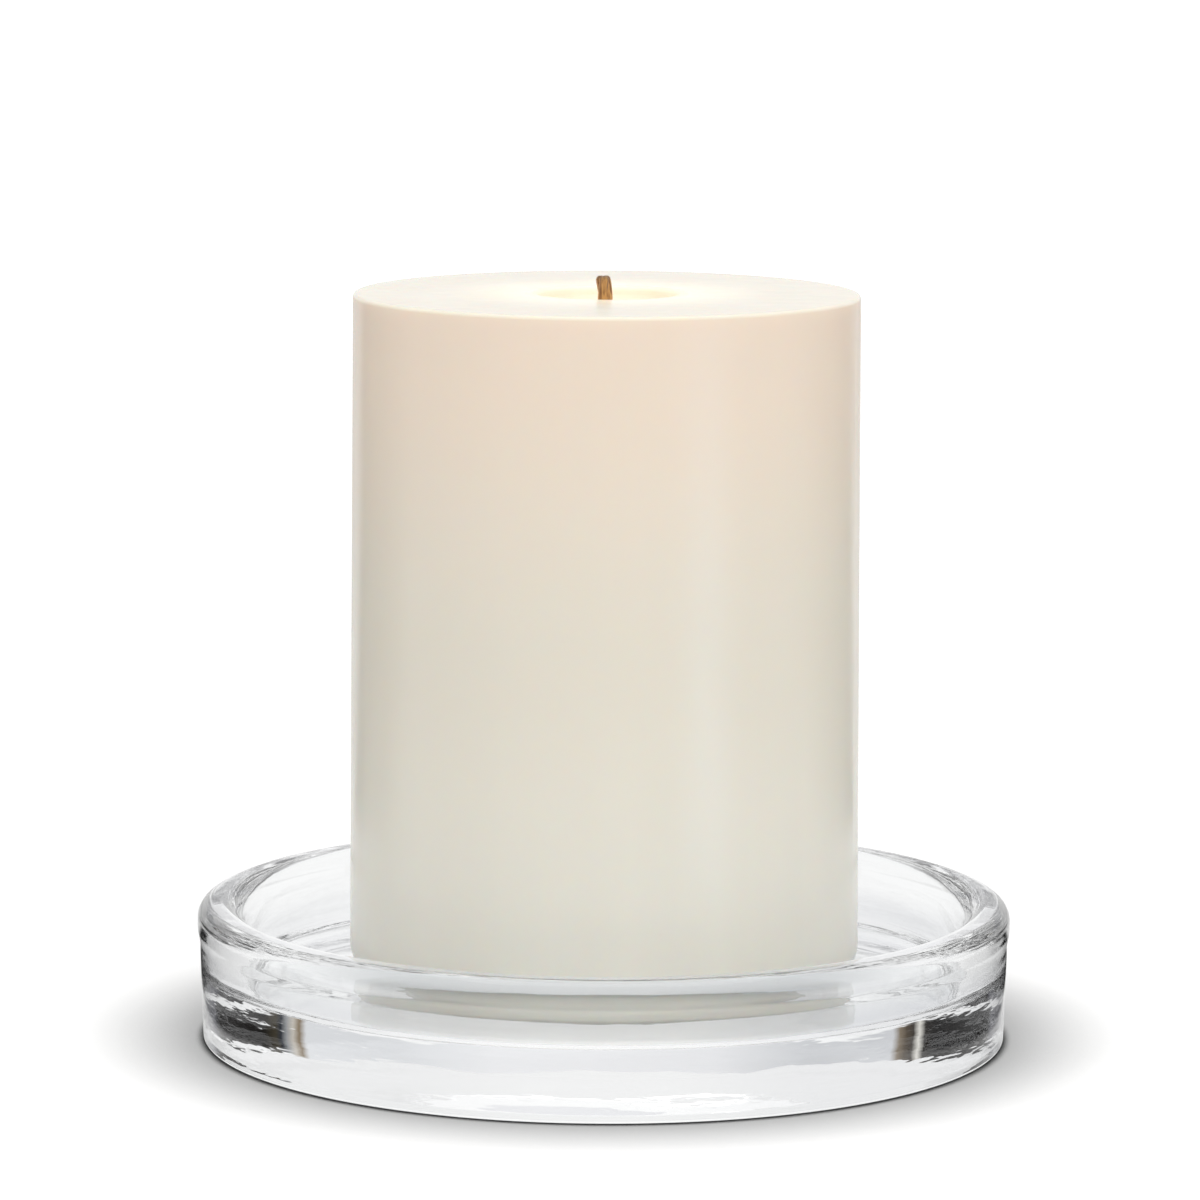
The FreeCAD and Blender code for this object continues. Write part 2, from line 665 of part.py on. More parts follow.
def bow_spring(side, y):
    """A strip bowed from a contact plate to a cell's flat end; its upper end is one with the plate."""
    cell_end = side * (CELL_LENGTH - abs(contact_x(side)))
    depth = abs(contact_x(side) - cell_end)
    radius = (BOW_HALF_HEIGHT**2 + depth**2) / (2 * depth)
    centre = Vector(cell_end + side * radius, y - BOW_WIDTH / 2, CELL_AXIS_Z)
    bow = Part.makeCylinder(radius, BOW_WIDTH, centre, ALONG_Y)
    bow = bow.cut(Part.makeCylinder(radius - BOW_METAL, BOW_WIDTH, centre, ALONG_Y))
    x_low, x_high = sorted((cell_end, contact_x(side)))
    upper = block(x_low, x_high, y - BOW_WIDTH, y + BOW_WIDTH, CELL_AXIS_Z, CELL_AXIS_Z + radius)
    x_low, x_high = sorted((cell_end, contact_x(side) - side * BOW_FREE_END_GAP))
    lower = block(x_low, x_high, y - BOW_WIDTH, y + BOW_WIDTH, CELL_AXIS_Z - radius, CELL_AXIS_Z)
    return bow.common(upper.fuse(lower))


def tabbed_plate(y):
    """A contact plate whose solder tab passes out through the end wall."""
    plate = end_plate(1, y - PLATE_HALF_WIDTH, y + PLATE_HALF_WIDTH)
    tab = block(contact_x(1) + PLATE_METAL / 2, TAB_REACH, y - TAB_WIDTH / 2, y + TAB_WIDTH / 2,
                TAB_Z, TAB_Z + PLATE_METAL)
    return plate.fuse(tab)


def negative_plate():
    return tabbed_plate(CELL_AXIS_Y).fuse(bow_spring(1, CELL_AXIS_Y))


def bridge_plate():
    """Joins the two cells in series: flat for one nub, bowed for the other cell's flat end."""
    half_width = CELL_AXIS_Y + PLATE_HALF_WIDTH
    return end_plate(-1, -half_width, half_width).fuse(bow_spring(-1, -CELL_AXIS_Y))


def battery_wire(y):
    """From a solder tab, up the end wall and over the well to a pad on the board."""
    return insulated_wire([
        Vector(WIRE_UP_X, y, TAB_Z + PLATE_METAL),
        Vector(WIRE_UP_X, y, WIRE_LEVEL_Z),
        Vector(WIRE_PAD, y, WIRE_LEVEL_Z),
    ])


# Battery door

def battery_door():
    """A flat lid with two round-nosed lugs at one end and a latch tab freed by two slits."""
    half_length = WELL_HALF_LENGTH - DOOR_GAP
    half_width = WELL_HALF_WIDTH - DOOR_GAP
    top_z = FLANGE_BOTTOM_Z + DOOR_THICKNESS
    hinge_end_x = -WELL_HALF_LENGTH + DOOR_HINGE_END_GAP
    door = rounded_block(half_length, half_width, FLANGE_BOTTOM_Z, top_z, WELL_CORNER_ROUND)
    door = door.cut(block(-half_length, hinge_end_x, -half_width, half_width, FLANGE_BOTTOM_Z, top_z))
    for side in (-1, 1):
        y_low = side * LUG_Y - LUG_HALF_WIDTH
        y_high = side * LUG_Y + LUG_HALF_WIDTH
        start = Vector(HINGE_X, y_low, HINGE_Z)
        nose = Part.makeCylinder(LUG_RADIUS, y_high - y_low, start, ALONG_Y)
        neck = block(HINGE_X, hinge_end_x, y_low, y_high, HINGE_Z - LUG_NECK / 2, HINGE_Z + LUG_NECK / 2)
        y_low, y_high = sorted((side * LATCH_HALF_WIDTH, side * (LATCH_HALF_WIDTH + LATCH_SLIT)))
        slit = block(half_length - LATCH_LENGTH, half_length, y_low, y_high, FLANGE_BOTTOM_Z, top_z)
        door = door.fuse([nose, neck]).cut(slit)
    nib_root = Vector(half_length, -LATCH_HALF_WIDTH, HINGE_Z + LATCH_NIB_RISE)
    corners = [nib_root, nib_root + ALONG_X * LATCH_NIB, nib_root + UP * LATCH_NIB_HEIGHT]
    nib = Part.Face(Part.makePolygon(corners + corners[:1])).extrude(ALONG_Y * 2 * LATCH_HALF_WIDTH)
    return door.fuse(nib).removeSplitter()


# Slide switch

def switch_body():
    """The switch's case with its terminals on top and a slot below for the slider."""
    top_z = FLANGE_TOP_Z + SWITCH_HEIGHT
    case = block(-SWITCH_HALF_LENGTH, SWITCH_HALF_LENGTH,
                 SWITCH_Y - SWITCH_HALF_WIDTH, SWITCH_Y + SWITCH_HALF_WIDTH, FLANGE_TOP_Z, top_z)
    case = case.makeFillet(SWITCH_CORNER_ROUND, upright_edges(case))
    throw = SWITCH_TRAVEL / 2 + KNOB_GAP
    slot_x = KNOB_HALF_LENGTH + throw
    slot_y = KNOB_HALF_WIDTH + KNOB_GAP
    floor_z = FLANGE_TOP_Z + SWITCH_FLOOR
    neck_slot = block(-slot_x, slot_x, SWITCH_Y - slot_y, SWITCH_Y + slot_y, FLANGE_TOP_Z, floor_z)
    slot_x = SLIDER_FOOT_HALF_LENGTH + throw
    slot_y = SLIDER_FOOT_HALF_WIDTH + KNOB_GAP
    foot_slot = block(-slot_x, slot_x, SWITCH_Y - slot_y, SWITCH_Y + slot_y,
                      floor_z, floor_z + SLIDER_FOOT_HEIGHT + 2 * KNOB_GAP)
    case = case.cut([neck_slot, foot_slot])
    for x in (-SWITCH_TERMINAL_X, 0, SWITCH_TERMINAL_X):
        pin_centre = Vector(x, SWITCH_Y, top_z + SWITCH_TERMINAL_HEIGHT / 2)
        case = case.fuse(centred_block(pin_centre, SWITCH_TERMINAL_METAL / 2, SWITCH_TERMINAL_WIDTH / 2,
                                       SWITCH_TERMINAL_HEIGHT / 2))
    return case


def switch_slider():
    """The knob, at the end of its travel, with finger grooves and its foot inside the switch."""
    foot_z = FLANGE_TOP_Z + SWITCH_FLOOR + KNOB_GAP
    knob = block(-KNOB_HALF_LENGTH, KNOB_HALF_LENGTH,
                 SWITCH_Y - KNOB_HALF_WIDTH, SWITCH_Y + KNOB_HALF_WIDTH, KNOB_BOTTOM_Z, foot_z)
    foot = block(-SLIDER_FOOT_HALF_LENGTH, SLIDER_FOOT_HALF_LENGTH,
                 SWITCH_Y - SLIDER_FOOT_HALF_WIDTH, SWITCH_Y + SLIDER_FOOT_HALF_WIDTH,
                 foot_z, foot_z + SLIDER_FOOT_HEIGHT)
    grooves = []
    for groove in range(KNOB_GROOVES):
        x = (groove - (KNOB_GROOVES - 1) / 2) * KNOB_GROOVE_PITCH
        start = Vector(x, SWITCH_Y - KNOB_HALF_WIDTH, KNOB_BOTTOM_Z)
        grooves.append(Part.makeCylinder(KNOB_GROOVE_RADIUS, 2 * KNOB_HALF_WIDTH, start, ALONG_Y))
    slider = knob.fuse(foot).cut(grooves)
    slider.translate(ALONG_X * (-SWITCH_TRAVEL / 2))
    return slider


def switch_wires():
    """Two wires from the switch's terminals, over the well to pads on the board."""
    terminal_z = FLANGE_TOP_Z + SWITCH_HEIGHT + SWITCH_TERMINAL_HEIGHT
    wires = [
        insulated_wire([
            Vector(x, SWITCH_Y, terminal_z),
            Vector(x, SWITCH_Y, WIRE_LEVEL_Z),
            Vector(x, WIRE_PAD, WIRE_LEVEL_Z),
        ])
        for x in (-SWITCH_TERMINAL_X, SWITCH_TERMINAL_X)
    ]
    return Part.makeCompound(wires)


# Board and its components

def circuit_board():
    board = post(0, 0, BOARD_BOTTOM_Z, BOARD_TOP_Z, BOARD_RADIUS)
    holes = [
        post(side * BOARD_POST_X, 0, BOARD_BOTTOM_Z, BOARD_TOP_Z, BOARD_HOLE_RADIUS)
        for side in (-1, 1)
    ]
    return board.cut(holes)


def chip_leg(x, side):
    """A leg that leaves the chip's flank and bends down to the board."""
    profile = [
        (CHIP_WIDTH / 2, CHIP_LEG_SHOULDER - CHIP_LEG_METAL),
        (CHIP_LEG_REACH - CHIP_LEG_METAL, CHIP_LEG_SHOULDER - CHIP_LEG_METAL),
        (CHIP_LEG_REACH - CHIP_LEG_METAL, 0),
        (CHIP_LEG_REACH, 0),
        (CHIP_LEG_REACH, CHIP_LEG_SHOULDER),
        (CHIP_WIDTH / 2, CHIP_LEG_SHOULDER),
    ]
    corners = [
        Vector(x - CHIP_LEG_WIDTH / 2, CHIP_Y + side * reach, BOARD_TOP_Z + rise)
        for reach, rise in profile
    ]
    return Part.Face(Part.makePolygon(corners + corners[:1])).extrude(ALONG_X * CHIP_LEG_WIDTH)


def control_chip():
    """An eight-legged chip with bevelled upper edges."""
    centre = Vector(0, CHIP_Y, BOARD_TOP_Z + CHIP_STANDOFF + CHIP_HEIGHT / 2)
    body = centred_block(centre, CHIP_LENGTH / 2, CHIP_WIDTH / 2, CHIP_HEIGHT / 2)
    body = body.makeChamfer(CHIP_BEVEL, [edge for edge in body.Edges if edge.BoundBox.ZMin > centre.z])
    legs = []
    for index in range(CHIP_LEGS_PER_SIDE):
        x = (index - (CHIP_LEGS_PER_SIDE - 1) / 2) * CHIP_LEG_PITCH
        legs += [chip_leg(x, -1), chip_leg(x, 1)]
    return body.fuse(legs)


def capacitor():
    """An electrolytic can with its crimped waist."""
    waist_z = BOARD_TOP_Z + CAN_WAIST_RISE
    top_z = BOARD_TOP_Z + CAN_HEIGHT
    can = turned_polygon([
        (0, BOARD_TOP_Z),
        (CAN_RADIUS, BOARD_TOP_Z),
        (CAN_RADIUS, waist_z - CAN_WAIST_HALF_HEIGHT),
        (CAN_RADIUS - CAN_WAIST_DEPTH, waist_z),
        (CAN_RADIUS, waist_z + CAN_WAIST_HALF_HEIGHT),
        (CAN_RADIUS, top_z - CAN_TOP_BEVEL),
        (CAN_RADIUS - CAN_TOP_BEVEL, top_z),
        (0, top_z),
    ])
    can.translate(Vector(CAN_X, CAN_Y, 0))
    return can


def resistors():
    """Three chip resistors in a row."""
    chips = [
        centred_block(Vector(RESISTOR_X, y, BOARD_TOP_Z + RESISTOR_HEIGHT / 2),
                      RESISTOR_LENGTH / 2, RESISTOR_WIDTH / 2, RESISTOR_HEIGHT / 2)
        for y in RESISTOR_Y
    ]
    return Part.makeCompound(chips)


# Module cover and its screws

def cover_outline(inset, bottom_z, top_z):
    """The turned body of the cover: skirt, shoulder, neck and tapered chimney."""
    skirt = COVER_SKIRT_RADIUS - inset
    foot = CHIMNEY_FOOT_RADIUS - inset
    top = CHIMNEY_TOP_RADIUS - inset
    return turned_polygon([
        (0, bottom_z),
        (skirt, bottom_z),
        (skirt, COVER_SHOULDER_Z - inset / 2),
        (foot, COVER_NECK_Z - inset / 2),
        (top, top_z),
        (0, top_z),
    ])


def module_cover():
    """The cover: its turned body, two screw ears and four small arches for the wires."""
    top_z = BULB_SEAT_Z + COVER_WALL
    ear_bottom = ROOF_Z + EAR_BOSS_HEIGHT
    ear_top = ear_bottom + EAR_THICKNESS
    arch_top = WIRE_LEVEL_Z + MOUSE_HOLE_HALF_WIDTH
    ears = []
    cuts = [post(0, 0, BULB_SEAT_Z, top_z, BULB_RADIUS + BULB_HOLE_GAP)]
    for side in (-1, 1):
        x_low, x_high = sorted((0, side * EAR_X))
        ears.append(post(side * EAR_X, 0, ear_bottom, ear_top, EAR_RADIUS))
        ears.append(block(x_low, x_high, -EAR_RADIUS, EAR_RADIUS, ear_bottom, ear_top))
        cuts.append(post(side * EAR_X, 0, ear_bottom, ear_top, BOARD_HOLE_RADIUS))
        y = side * CELL_AXIS_Y
        cuts.append(block(COVER_SKIRT_RADIUS - MOUSE_HOLE_REACH, COVER_SKIRT_RADIUS,
                          y - MOUSE_HOLE_HALF_WIDTH, y + MOUSE_HOLE_HALF_WIDTH, ROOF_Z, arch_top))
        x = side * SWITCH_TERMINAL_X
        cuts.append(block(x - MOUSE_HOLE_HALF_WIDTH, x + MOUSE_HOLE_HALF_WIDTH,
                          COVER_SKIRT_RADIUS - MOUSE_HOLE_REACH, COVER_SKIRT_RADIUS, ROOF_Z, arch_top))
    cover = cover_outline(0, ROOF_Z, top_z).fuse(ears)
    cover = cover.cut(cover_outline(COVER_WALL, ROOF_Z, BULB_SEAT_Z))
    return cover.cut(cuts)


def board_screws():
    return Part.makeCompound([pan_head_screw(side * BOARD_POST_X, 0, BOARD_TOP_Z) for side in (-1, 1)])


def cover_screws():
    seat_z = ROOF_Z + EAR_BOSS_HEIGHT + EAR_THICKNESS
    return Part.makeCompound([pan_head_screw(side * EAR_X, 0, seat_z) for side in (-1, 1)])


PARTS = {
    "glass_plate": glass_plate,
    "wax_shell": wax_shell,
    "wick": wick,
    "glow_lens": glow_lens,
    "led_bulb": led_bulb,
    "led_legs": led_legs,
    "led_wires": led_wires,
    "module_cover": module_cover,
    "cover_screws": cover_screws,
    "circuit_board": circuit_board,
    "board_screws": board_screws,
    "control_chip": control_chip,
    "capacitor": capacitor,
    "resistors": resistors,
    "base_housing": base_housing,
    "battery_left": lambda: aa_cell(contact_x(1), -CELL_AXIS_Y),
    "battery_right": lambda: aa_cell(contact_x(-1), CELL_AXIS_Y),
    "positive_plate": lambda: tabbed_plate(-CELL_AXIS_Y),
    "negative_plate": negative_plate,
    "bridge_plate": bridge_plate,
    "battery_wire_red": lambda: battery_wire(-CELL_AXIS_Y),
    "battery_wire_black": lambda: battery_wire(CELL_AXIS_Y),
    "switch_body": switch_body,
    "switch_wires": switch_wires,
    "switch_slider": switch_slider,
    "battery_door": battery_door,
}

os.makedirs("parts", exist_ok=True)
for name, make in PARTS.items():
    shape = make()
    if not shape.isValid():
        print("not valid:", name)
    shape.exportStep(os.path.join("parts", name + ".step"))
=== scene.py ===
"""The looks of a clear glass candle plate and the flameless pillar candle that stands on it."""

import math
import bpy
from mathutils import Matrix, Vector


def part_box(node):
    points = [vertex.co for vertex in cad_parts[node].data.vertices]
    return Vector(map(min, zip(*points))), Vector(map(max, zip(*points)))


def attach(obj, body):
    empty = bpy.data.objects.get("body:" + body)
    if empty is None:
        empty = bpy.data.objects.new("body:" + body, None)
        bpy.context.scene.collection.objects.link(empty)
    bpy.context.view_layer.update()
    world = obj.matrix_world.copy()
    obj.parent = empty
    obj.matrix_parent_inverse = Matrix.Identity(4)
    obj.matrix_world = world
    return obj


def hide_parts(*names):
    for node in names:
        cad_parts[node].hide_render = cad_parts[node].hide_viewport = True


bl_info = {
    "name": "Candle plate",
    "version": (1, 0, 0),
    "blender": (4, 5, 0),
    "location": "3D View > Sidebar > Candle plate",
    "description": "Glass plate with a flameless pillar candle, its inner module and a plain studio",
    "category": "Object",
}

import bmesh
import bpy
from mathutils import Matrix, Vector, noise

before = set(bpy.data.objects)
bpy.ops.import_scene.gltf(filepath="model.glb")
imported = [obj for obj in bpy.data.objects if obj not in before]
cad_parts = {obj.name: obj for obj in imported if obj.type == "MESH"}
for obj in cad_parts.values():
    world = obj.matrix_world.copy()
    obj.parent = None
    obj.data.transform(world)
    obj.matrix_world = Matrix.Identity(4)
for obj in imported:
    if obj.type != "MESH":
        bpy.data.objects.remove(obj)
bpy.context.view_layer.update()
WAX_LOW, WAX_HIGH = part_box("wax_shell")
WICK_LOW, WICK_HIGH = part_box("wick")
PLATE_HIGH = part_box("glass_plate")[1]
LENS_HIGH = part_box("glow_lens")[1]

MM = 0.001


# Settings that a user would change

class GlassSettings(bpy.types.PropertyGroup):
    """Sizes and finish of the pressed-glass plate."""

    lip_radius: bpy.props.FloatProperty(
        name="Lip radius", description="Outside of the lip", default=PLATE_HIGH.x, unit="LENGTH")
    height: bpy.props.FloatProperty(
        name="Height", description="Foot to the top of the lip", default=PLATE_HIGH.z, unit="LENGTH")
    lip_round: bpy.props.FloatProperty(
        name="Lip rounding", description="Radius of the lip's outer edge", default=2.3 * MM, unit="LENGTH")
    mouth_round: bpy.props.FloatProperty(
        name="Mouth rounding", description="Radius of the lip's inner edge", default=3.2 * MM, unit="LENGTH")
    lip_drop: bpy.props.FloatProperty(
        name="Lip depth", description="From the top of the lip to the wall below it", default=5.6 * MM,
        unit="LENGTH")
    floor: bpy.props.FloatProperty(
        name="Floor", description="Height of the dish's floor", default=WAX_LOW.z, unit="LENGTH")
    wall_radius: bpy.props.FloatProperty(
        name="Wall radius", description="Outside of the wall just below the lip", default=60.5 * MM, unit="LENGTH")
    foot_radius: bpy.props.FloatProperty(
        name="Foot radius", description="Outside of the wall at the foot", default=60.0 * MM, unit="LENGTH")
    mouth_radius: bpy.props.FloatProperty(
        name="Mouth radius", description="Inside of the lip", default=54.0 * MM, unit="LENGTH")
    inner_radius: bpy.props.FloatProperty(
        name="Dish radius", description="Inner radius of the wall at the floor", default=53.5 * MM, unit="LENGTH")
    ripple: bpy.props.FloatProperty(
        name="Ripple", description="Depth of the pressing ripples", default=0.045 * MM, unit="LENGTH")
    ior: bpy.props.FloatProperty(
        name="Refraction", description="Index of refraction of soda glass", default=1.5)
    tint: bpy.props.FloatVectorProperty(
        name="Tint", description="Faint body colour", default=(0.985, 0.992, 0.992), size=3, subtype="COLOR")


class WaxSettings(bpy.types.PropertyGroup):
    """Colours of the wax, painted lighter at the foot, warm at the shoulder and pale on the top face as painted light,
    and of the glow in its crown.
    """

    # Cool ivory, partly painted light: lighter than the middle colour to brighten the lower part of the pillar
    foot_color_and_light: bpy.props.FloatVectorProperty(
        name="Foot colour", description="Cool ivory near the foot", default=(0.865, 0.85, 0.765), size=3,
        subtype="COLOR")
    middle_color: bpy.props.FloatVectorProperty(
        name="Middle colour", description="Ivory half way up", default=(0.765, 0.72, 0.62), size=3,
        subtype="COLOR")
    # Painted warm glow: the bulb's light soaking through the wax, painted peach into its colour near the top
    shoulder_glow_color: bpy.props.FloatVectorProperty(
        name="Shoulder colour", description="Peach where the light soaks in", default=(0.835, 0.71, 0.585),
        size=3, subtype="COLOR")
    # Painted light: the top face is paler where the top softbox and the bulb's glow light it
    crown_lit_color: bpy.props.FloatVectorProperty(
        name="Crown colour", description="Pale top face", default=(0.91, 0.84, 0.71), size=3, subtype="COLOR")
    glow_color: bpy.props.FloatVectorProperty(
        name="Glow colour", description="Warm white of the bulb through wax", default=(1.0, 0.80, 0.50),
        size=3, subtype="COLOR")
    glow_strength: bpy.props.FloatProperty(
        name="Glow strength", description="Brightness of the lit crown", default=0.35, min=0)


class ModuleSettings(bpy.types.PropertyGroup):
    """Colours of the module inside the candle."""

    plastic_color: bpy.props.FloatVectorProperty(
        name="Moulded plastic", description="Ivory housing", default=(0.80, 0.77, 0.69), size=3, subtype="COLOR")
    board_color: bpy.props.FloatVectorProperty(
        name="Circuit board", description="Green mask", default=(0.02, 0.16, 0.06), size=3, subtype="COLOR")
    jacket_color: bpy.props.FloatVectorProperty(
        name="Cell jacket", description="Plain dark jacket", default=(0.035, 0.04, 0.05), size=3, subtype="COLOR")
    switch_color: bpy.props.FloatVectorProperty(
        name="Switch", description="Black switch", default=(0.02, 0.02, 0.022), size=3, subtype="COLOR")


class StageSettings(bpy.types.PropertyGroup):
    """Camera and lamps."""

    camera_distance: bpy.props.FloatProperty(
        name="Camera distance", description="Along the table from the plate's axis", default=0.8651, unit="LENGTH")
    camera_height: bpy.props.FloatProperty(
        name="Camera height", description="Above the table", default=0.1920, unit="LENGTH")
    camera_offset: bpy.props.FloatProperty(
        name="Camera offset", description="Sideways from the plate's axis", default=-0.81 * MM, unit="LENGTH")
    camera_pitch: bpy.props.FloatProperty(
        name="Camera pitch", description="Below the horizon", default=math.radians(8.312), subtype="ANGLE")
    camera_roll: bpy.props.FloatProperty(
        name="Camera roll", description="About the line of sight", default=math.radians(0.284), subtype="ANGLE")
    camera_lens: bpy.props.FloatProperty(
        name="Camera lens", description="Focal length in millimetres on a 36 mm sensor", default=176.2)
    room_light: bpy.props.FloatProperty(
        name="Room light", description="Even light from the white room", default=0.66, min=0)
    floor_level: bpy.props.FloatProperty(
        name="Floor level", description="How white the floor looks to the eye", default=1.05, min=0)
    front_light: bpy.props.FloatProperty(
        name="Front light", description="Watts of the wide front softbox", default=1.2, min=0)
    key_light: bpy.props.FloatProperty(
        name="Key light", description="Watts of the softbox at the front right", default=2.3, min=0)
    fill_light: bpy.props.FloatProperty(
        name="Fill light", description="Watts of the narrow softbox at the front left", default=1.5, min=0)
    top_light: bpy.props.FloatProperty(
        name="Top light", description="Watts of the softbox overhead", default=3.0, min=0)


# Mesh helpers

def arc_points(centre, radius, start_degrees, end_degrees, steps):
    """Points of an arc in a turned profile, as (radius, height) pairs."""
    points = []
    for step in range(steps + 1):
        angle = math.radians(start_degrees + (end_degrees - start_degrees) * step / steps)
        points.append((centre[0] + radius * math.cos(angle), centre[1] + radius * math.sin(angle)))
    return points


def run_points(start, end, steps):
    """Points along a straight run of a profile, without its first one."""
    return [
        (start[0] + (end[0] - start[0]) * step / steps, start[1] + (end[1] - start[1]) * step / steps)
        for step in range(1, steps + 1)
    ]


def rounded_profile(corners, spacing):
    """A profile through (radius, height, rounding) corners, with arcs at the corners and even steps between."""
    points = [corners[0][:2]]
    for before, corner, after in zip(corners, corners[1:], corners[2:]):
        here = Vector(corner[:2])
        back, ahead = (Vector(before[:2]) - here).normalized(), (Vector(after[:2]) - here).normalized()
        half = back.angle(ahead) / 2
        reach = corner[2] / math.tan(half)
        start, end = here + back * reach, here + ahead * reach
        run = (start - Vector(points[-1])).length
        points += run_points(points[-1], tuple(start), max(1, round(run / spacing)))
        if corner[2]:
            centre = here + (back + ahead).normalized() * corner[2] / math.sin(half)
            first, last = start - centre, end - centre
            turn = first.angle_signed(last)
            steps = max(4, round(abs(math.degrees(turn)) / 8))
            points += [tuple(centre + Matrix.Rotation(-turn * step / steps, 2) @ first)
                       for step in range(1, steps + 1)]
    run = (Vector(corners[-1][:2]) - Vector(points[-1])).length
    return points + run_points(points[-1], corners[-1][:2], max(1, round(run / spacing)))


def smooth_object(name, mesh):
    """A new object for a finished mesh, shaded smooth."""
    for polygon in mesh.polygons:
        polygon.use_smooth = True
    made = bpy.data.objects.new(name, mesh)
    bpy.context.scene.collection.objects.link(made)
    return made


def turned_object(name, profile, segments, shift=None):
    """Turns a profile about Z. Points on the axis become poles, and shift moves each vertex a little."""
    builder = bmesh.new()
    rings = []
    for radius, height in profile:
        if radius < 1e-7:
            rings.append([builder.verts.new((0, 0, height))])
            continue
        ring = []
        for segment in range(segments):
            angle = 2 * math.pi * segment / segments
            point = Vector((radius * math.cos(angle), radius * math.sin(angle), height))
            ring.append(builder.verts.new(point + shift(point) if shift else point))
        rings.append(ring)
    for lower, upper in zip(rings, rings[1:]):
        for segment in range(segments):
            following = (segment + 1) % segments
            corners = [lower[segment % len(lower)], lower[following % len(lower)],
                       upper[following % len(upper)], upper[segment % len(upper)]]
            unique = list(dict.fromkeys(corners))
            if len(unique) > 2:
                builder.faces.new(unique)
    bmesh.ops.recalc_face_normals(builder, faces=builder.faces)
    mesh = bpy.data.meshes.new(name)
    builder.to_mesh(mesh)
    builder.free()
    return smooth_object(name, mesh)


def dress(piece, material):
    """Gives a new piece its material."""
    piece.data.materials.append(material)


def dress_nodes(material, *names):
    """Gives nodes brought in from model.glb a material."""
    for name in names:
        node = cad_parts[name]
        if not node.material_slots:
            node.data.materials.append(material)
        for slot in node.material_slots:
            slot.material = material


# Material helpers

def new_material(name, color, roughness, **sockets):
    """A Principled material; extra sockets are given by name with underscores for spaces."""
    material = bpy.data.materials.new(name)
    material.use_nodes = True
    shader = material.node_tree.nodes["Principled BSDF"]
    shader.inputs["Base Color"].default_value = (*color, 1)
    shader.inputs["Roughness"].default_value = roughness
    for socket, value in sockets.items():
        shader.inputs[socket.replace("_", " ")].default_value = value
    return material


def add_node(material, kind, inputs=None, **settings):
    """A new shader node; inputs are socket values by name and settings are its properties."""
    node = material.node_tree.nodes.new("ShaderNode" + kind)
    for setting, value in settings.items():
        setattr(node, setting, value)
    for socket, value in (inputs or {}).items():
        node.inputs[socket].default_value = value
    return node


def join(material, source, target):
    """Links an output socket to an input socket."""
    material.node_tree.links.new(source, target)


def shader_of(material):
    """The material's Principled shader."""
    return material.node_tree.nodes["Principled BSDF"]


def place_of(material):
    """The socket with each point's place in the row frame."""
    return add_node(material, "TexCoord").outputs["Object"]


def add_noise(material, scale, detail=3.0, stretch=(1, 1, 1)):
    """Noise over the object's own place, in features of about one over scale metres."""
    mapping = add_node(material, "Mapping", {"Scale": stretch})
    join(material, place_of(material), mapping.inputs["Vector"])
    texture = add_node(material, "TexNoise", {"Scale": scale, "Detail": detail})
    join(material, mapping.outputs["Vector"], texture.inputs["Vector"])
    return texture.outputs["Fac"]


def add_range(material, value, low, high, to_low, to_high, smooth=True):
    """Maps a value from one range to another, held at both ends, with a soft start and end if it is smooth."""
    node = add_node(material, "MapRange", {"From Min": low, "From Max": high, "To Min": to_low, "To Max": to_high},
                    interpolation_type="SMOOTHSTEP" if smooth else "LINEAR")
    join(material, value, node.inputs["Value"])
    return node.outputs["Result"]


def add_mix(material, factor, first, second):
    """A colour mix; first and second are colours or sockets."""
    node = add_node(material, "Mix", data_type="RGBA")
    join(material, factor, node.inputs["Factor"])
    for socket, color in ((node.inputs[6], first), (node.inputs[7], second)):
        if isinstance(color, bpy.types.NodeSocket):
            join(material, color, socket)
        else:
            socket.default_value = (*color, 1)
    return node.outputs[2]


def add_math(material, operation, first, second=None):
    """The result of a sum; first and second are numbers or sockets."""
    node = add_node(material, "Math", operation=operation)
    for socket, value in zip(node.inputs, (first, second)):
        if isinstance(value, bpy.types.NodeSocket):
            join(material, value, socket)
        elif value is not None:
            socket.default_value = value
    return node.outputs[0]


def add_flecks(material, scale, radius, share):
    """Sparse round spots: 1 in a spot and 0 outside, with spots in only a share of the cells."""
    cells = add_node(material, "TexVoronoi", {"Scale": scale, "Randomness": 1.0})
    join(material, place_of(material), cells.inputs["Vector"])
    spot = add_range(material, cells.outputs["Distance"], radius * scale * 0.5, radius * scale, 1, 0)
    split = add_node(material, "SeparateColor")
    join(material, cells.outputs["Color"], split.inputs[0])
    chosen = add_math(material, "LESS_THAN", split.outputs[0], share)
    return add_math(material, "MULTIPLY", spot, chosen)


def add_bump(material, height, strength, distance):
    """Bumps the material's surface by a height socket."""
    bump = add_node(material, "Bump", {"Strength": strength, "Distance": distance})
    join(material, height, bump.inputs["Height"])
    join(material, bump.outputs["Normal"], shader_of(material).inputs["Normal"])


def mix_shaders(material, factor, first, second):
    """A mix of two shader sockets."""
    mix = add_node(material, "MixShader")
    for source, socket in zip((factor, first, second), mix.inputs):
        join(material, source, socket)
    return mix.outputs[0]


def axes_of(material):
    """The sockets with each point's X, Y and Z; Z is its height above the table at rest."""
    split = add_node(material, "SeparateXYZ")
    join(material, place_of(material), split.inputs[0])
    return split.outputs["X"], split.outputs["Y"], split.outputs["Z"]


# Glass plate

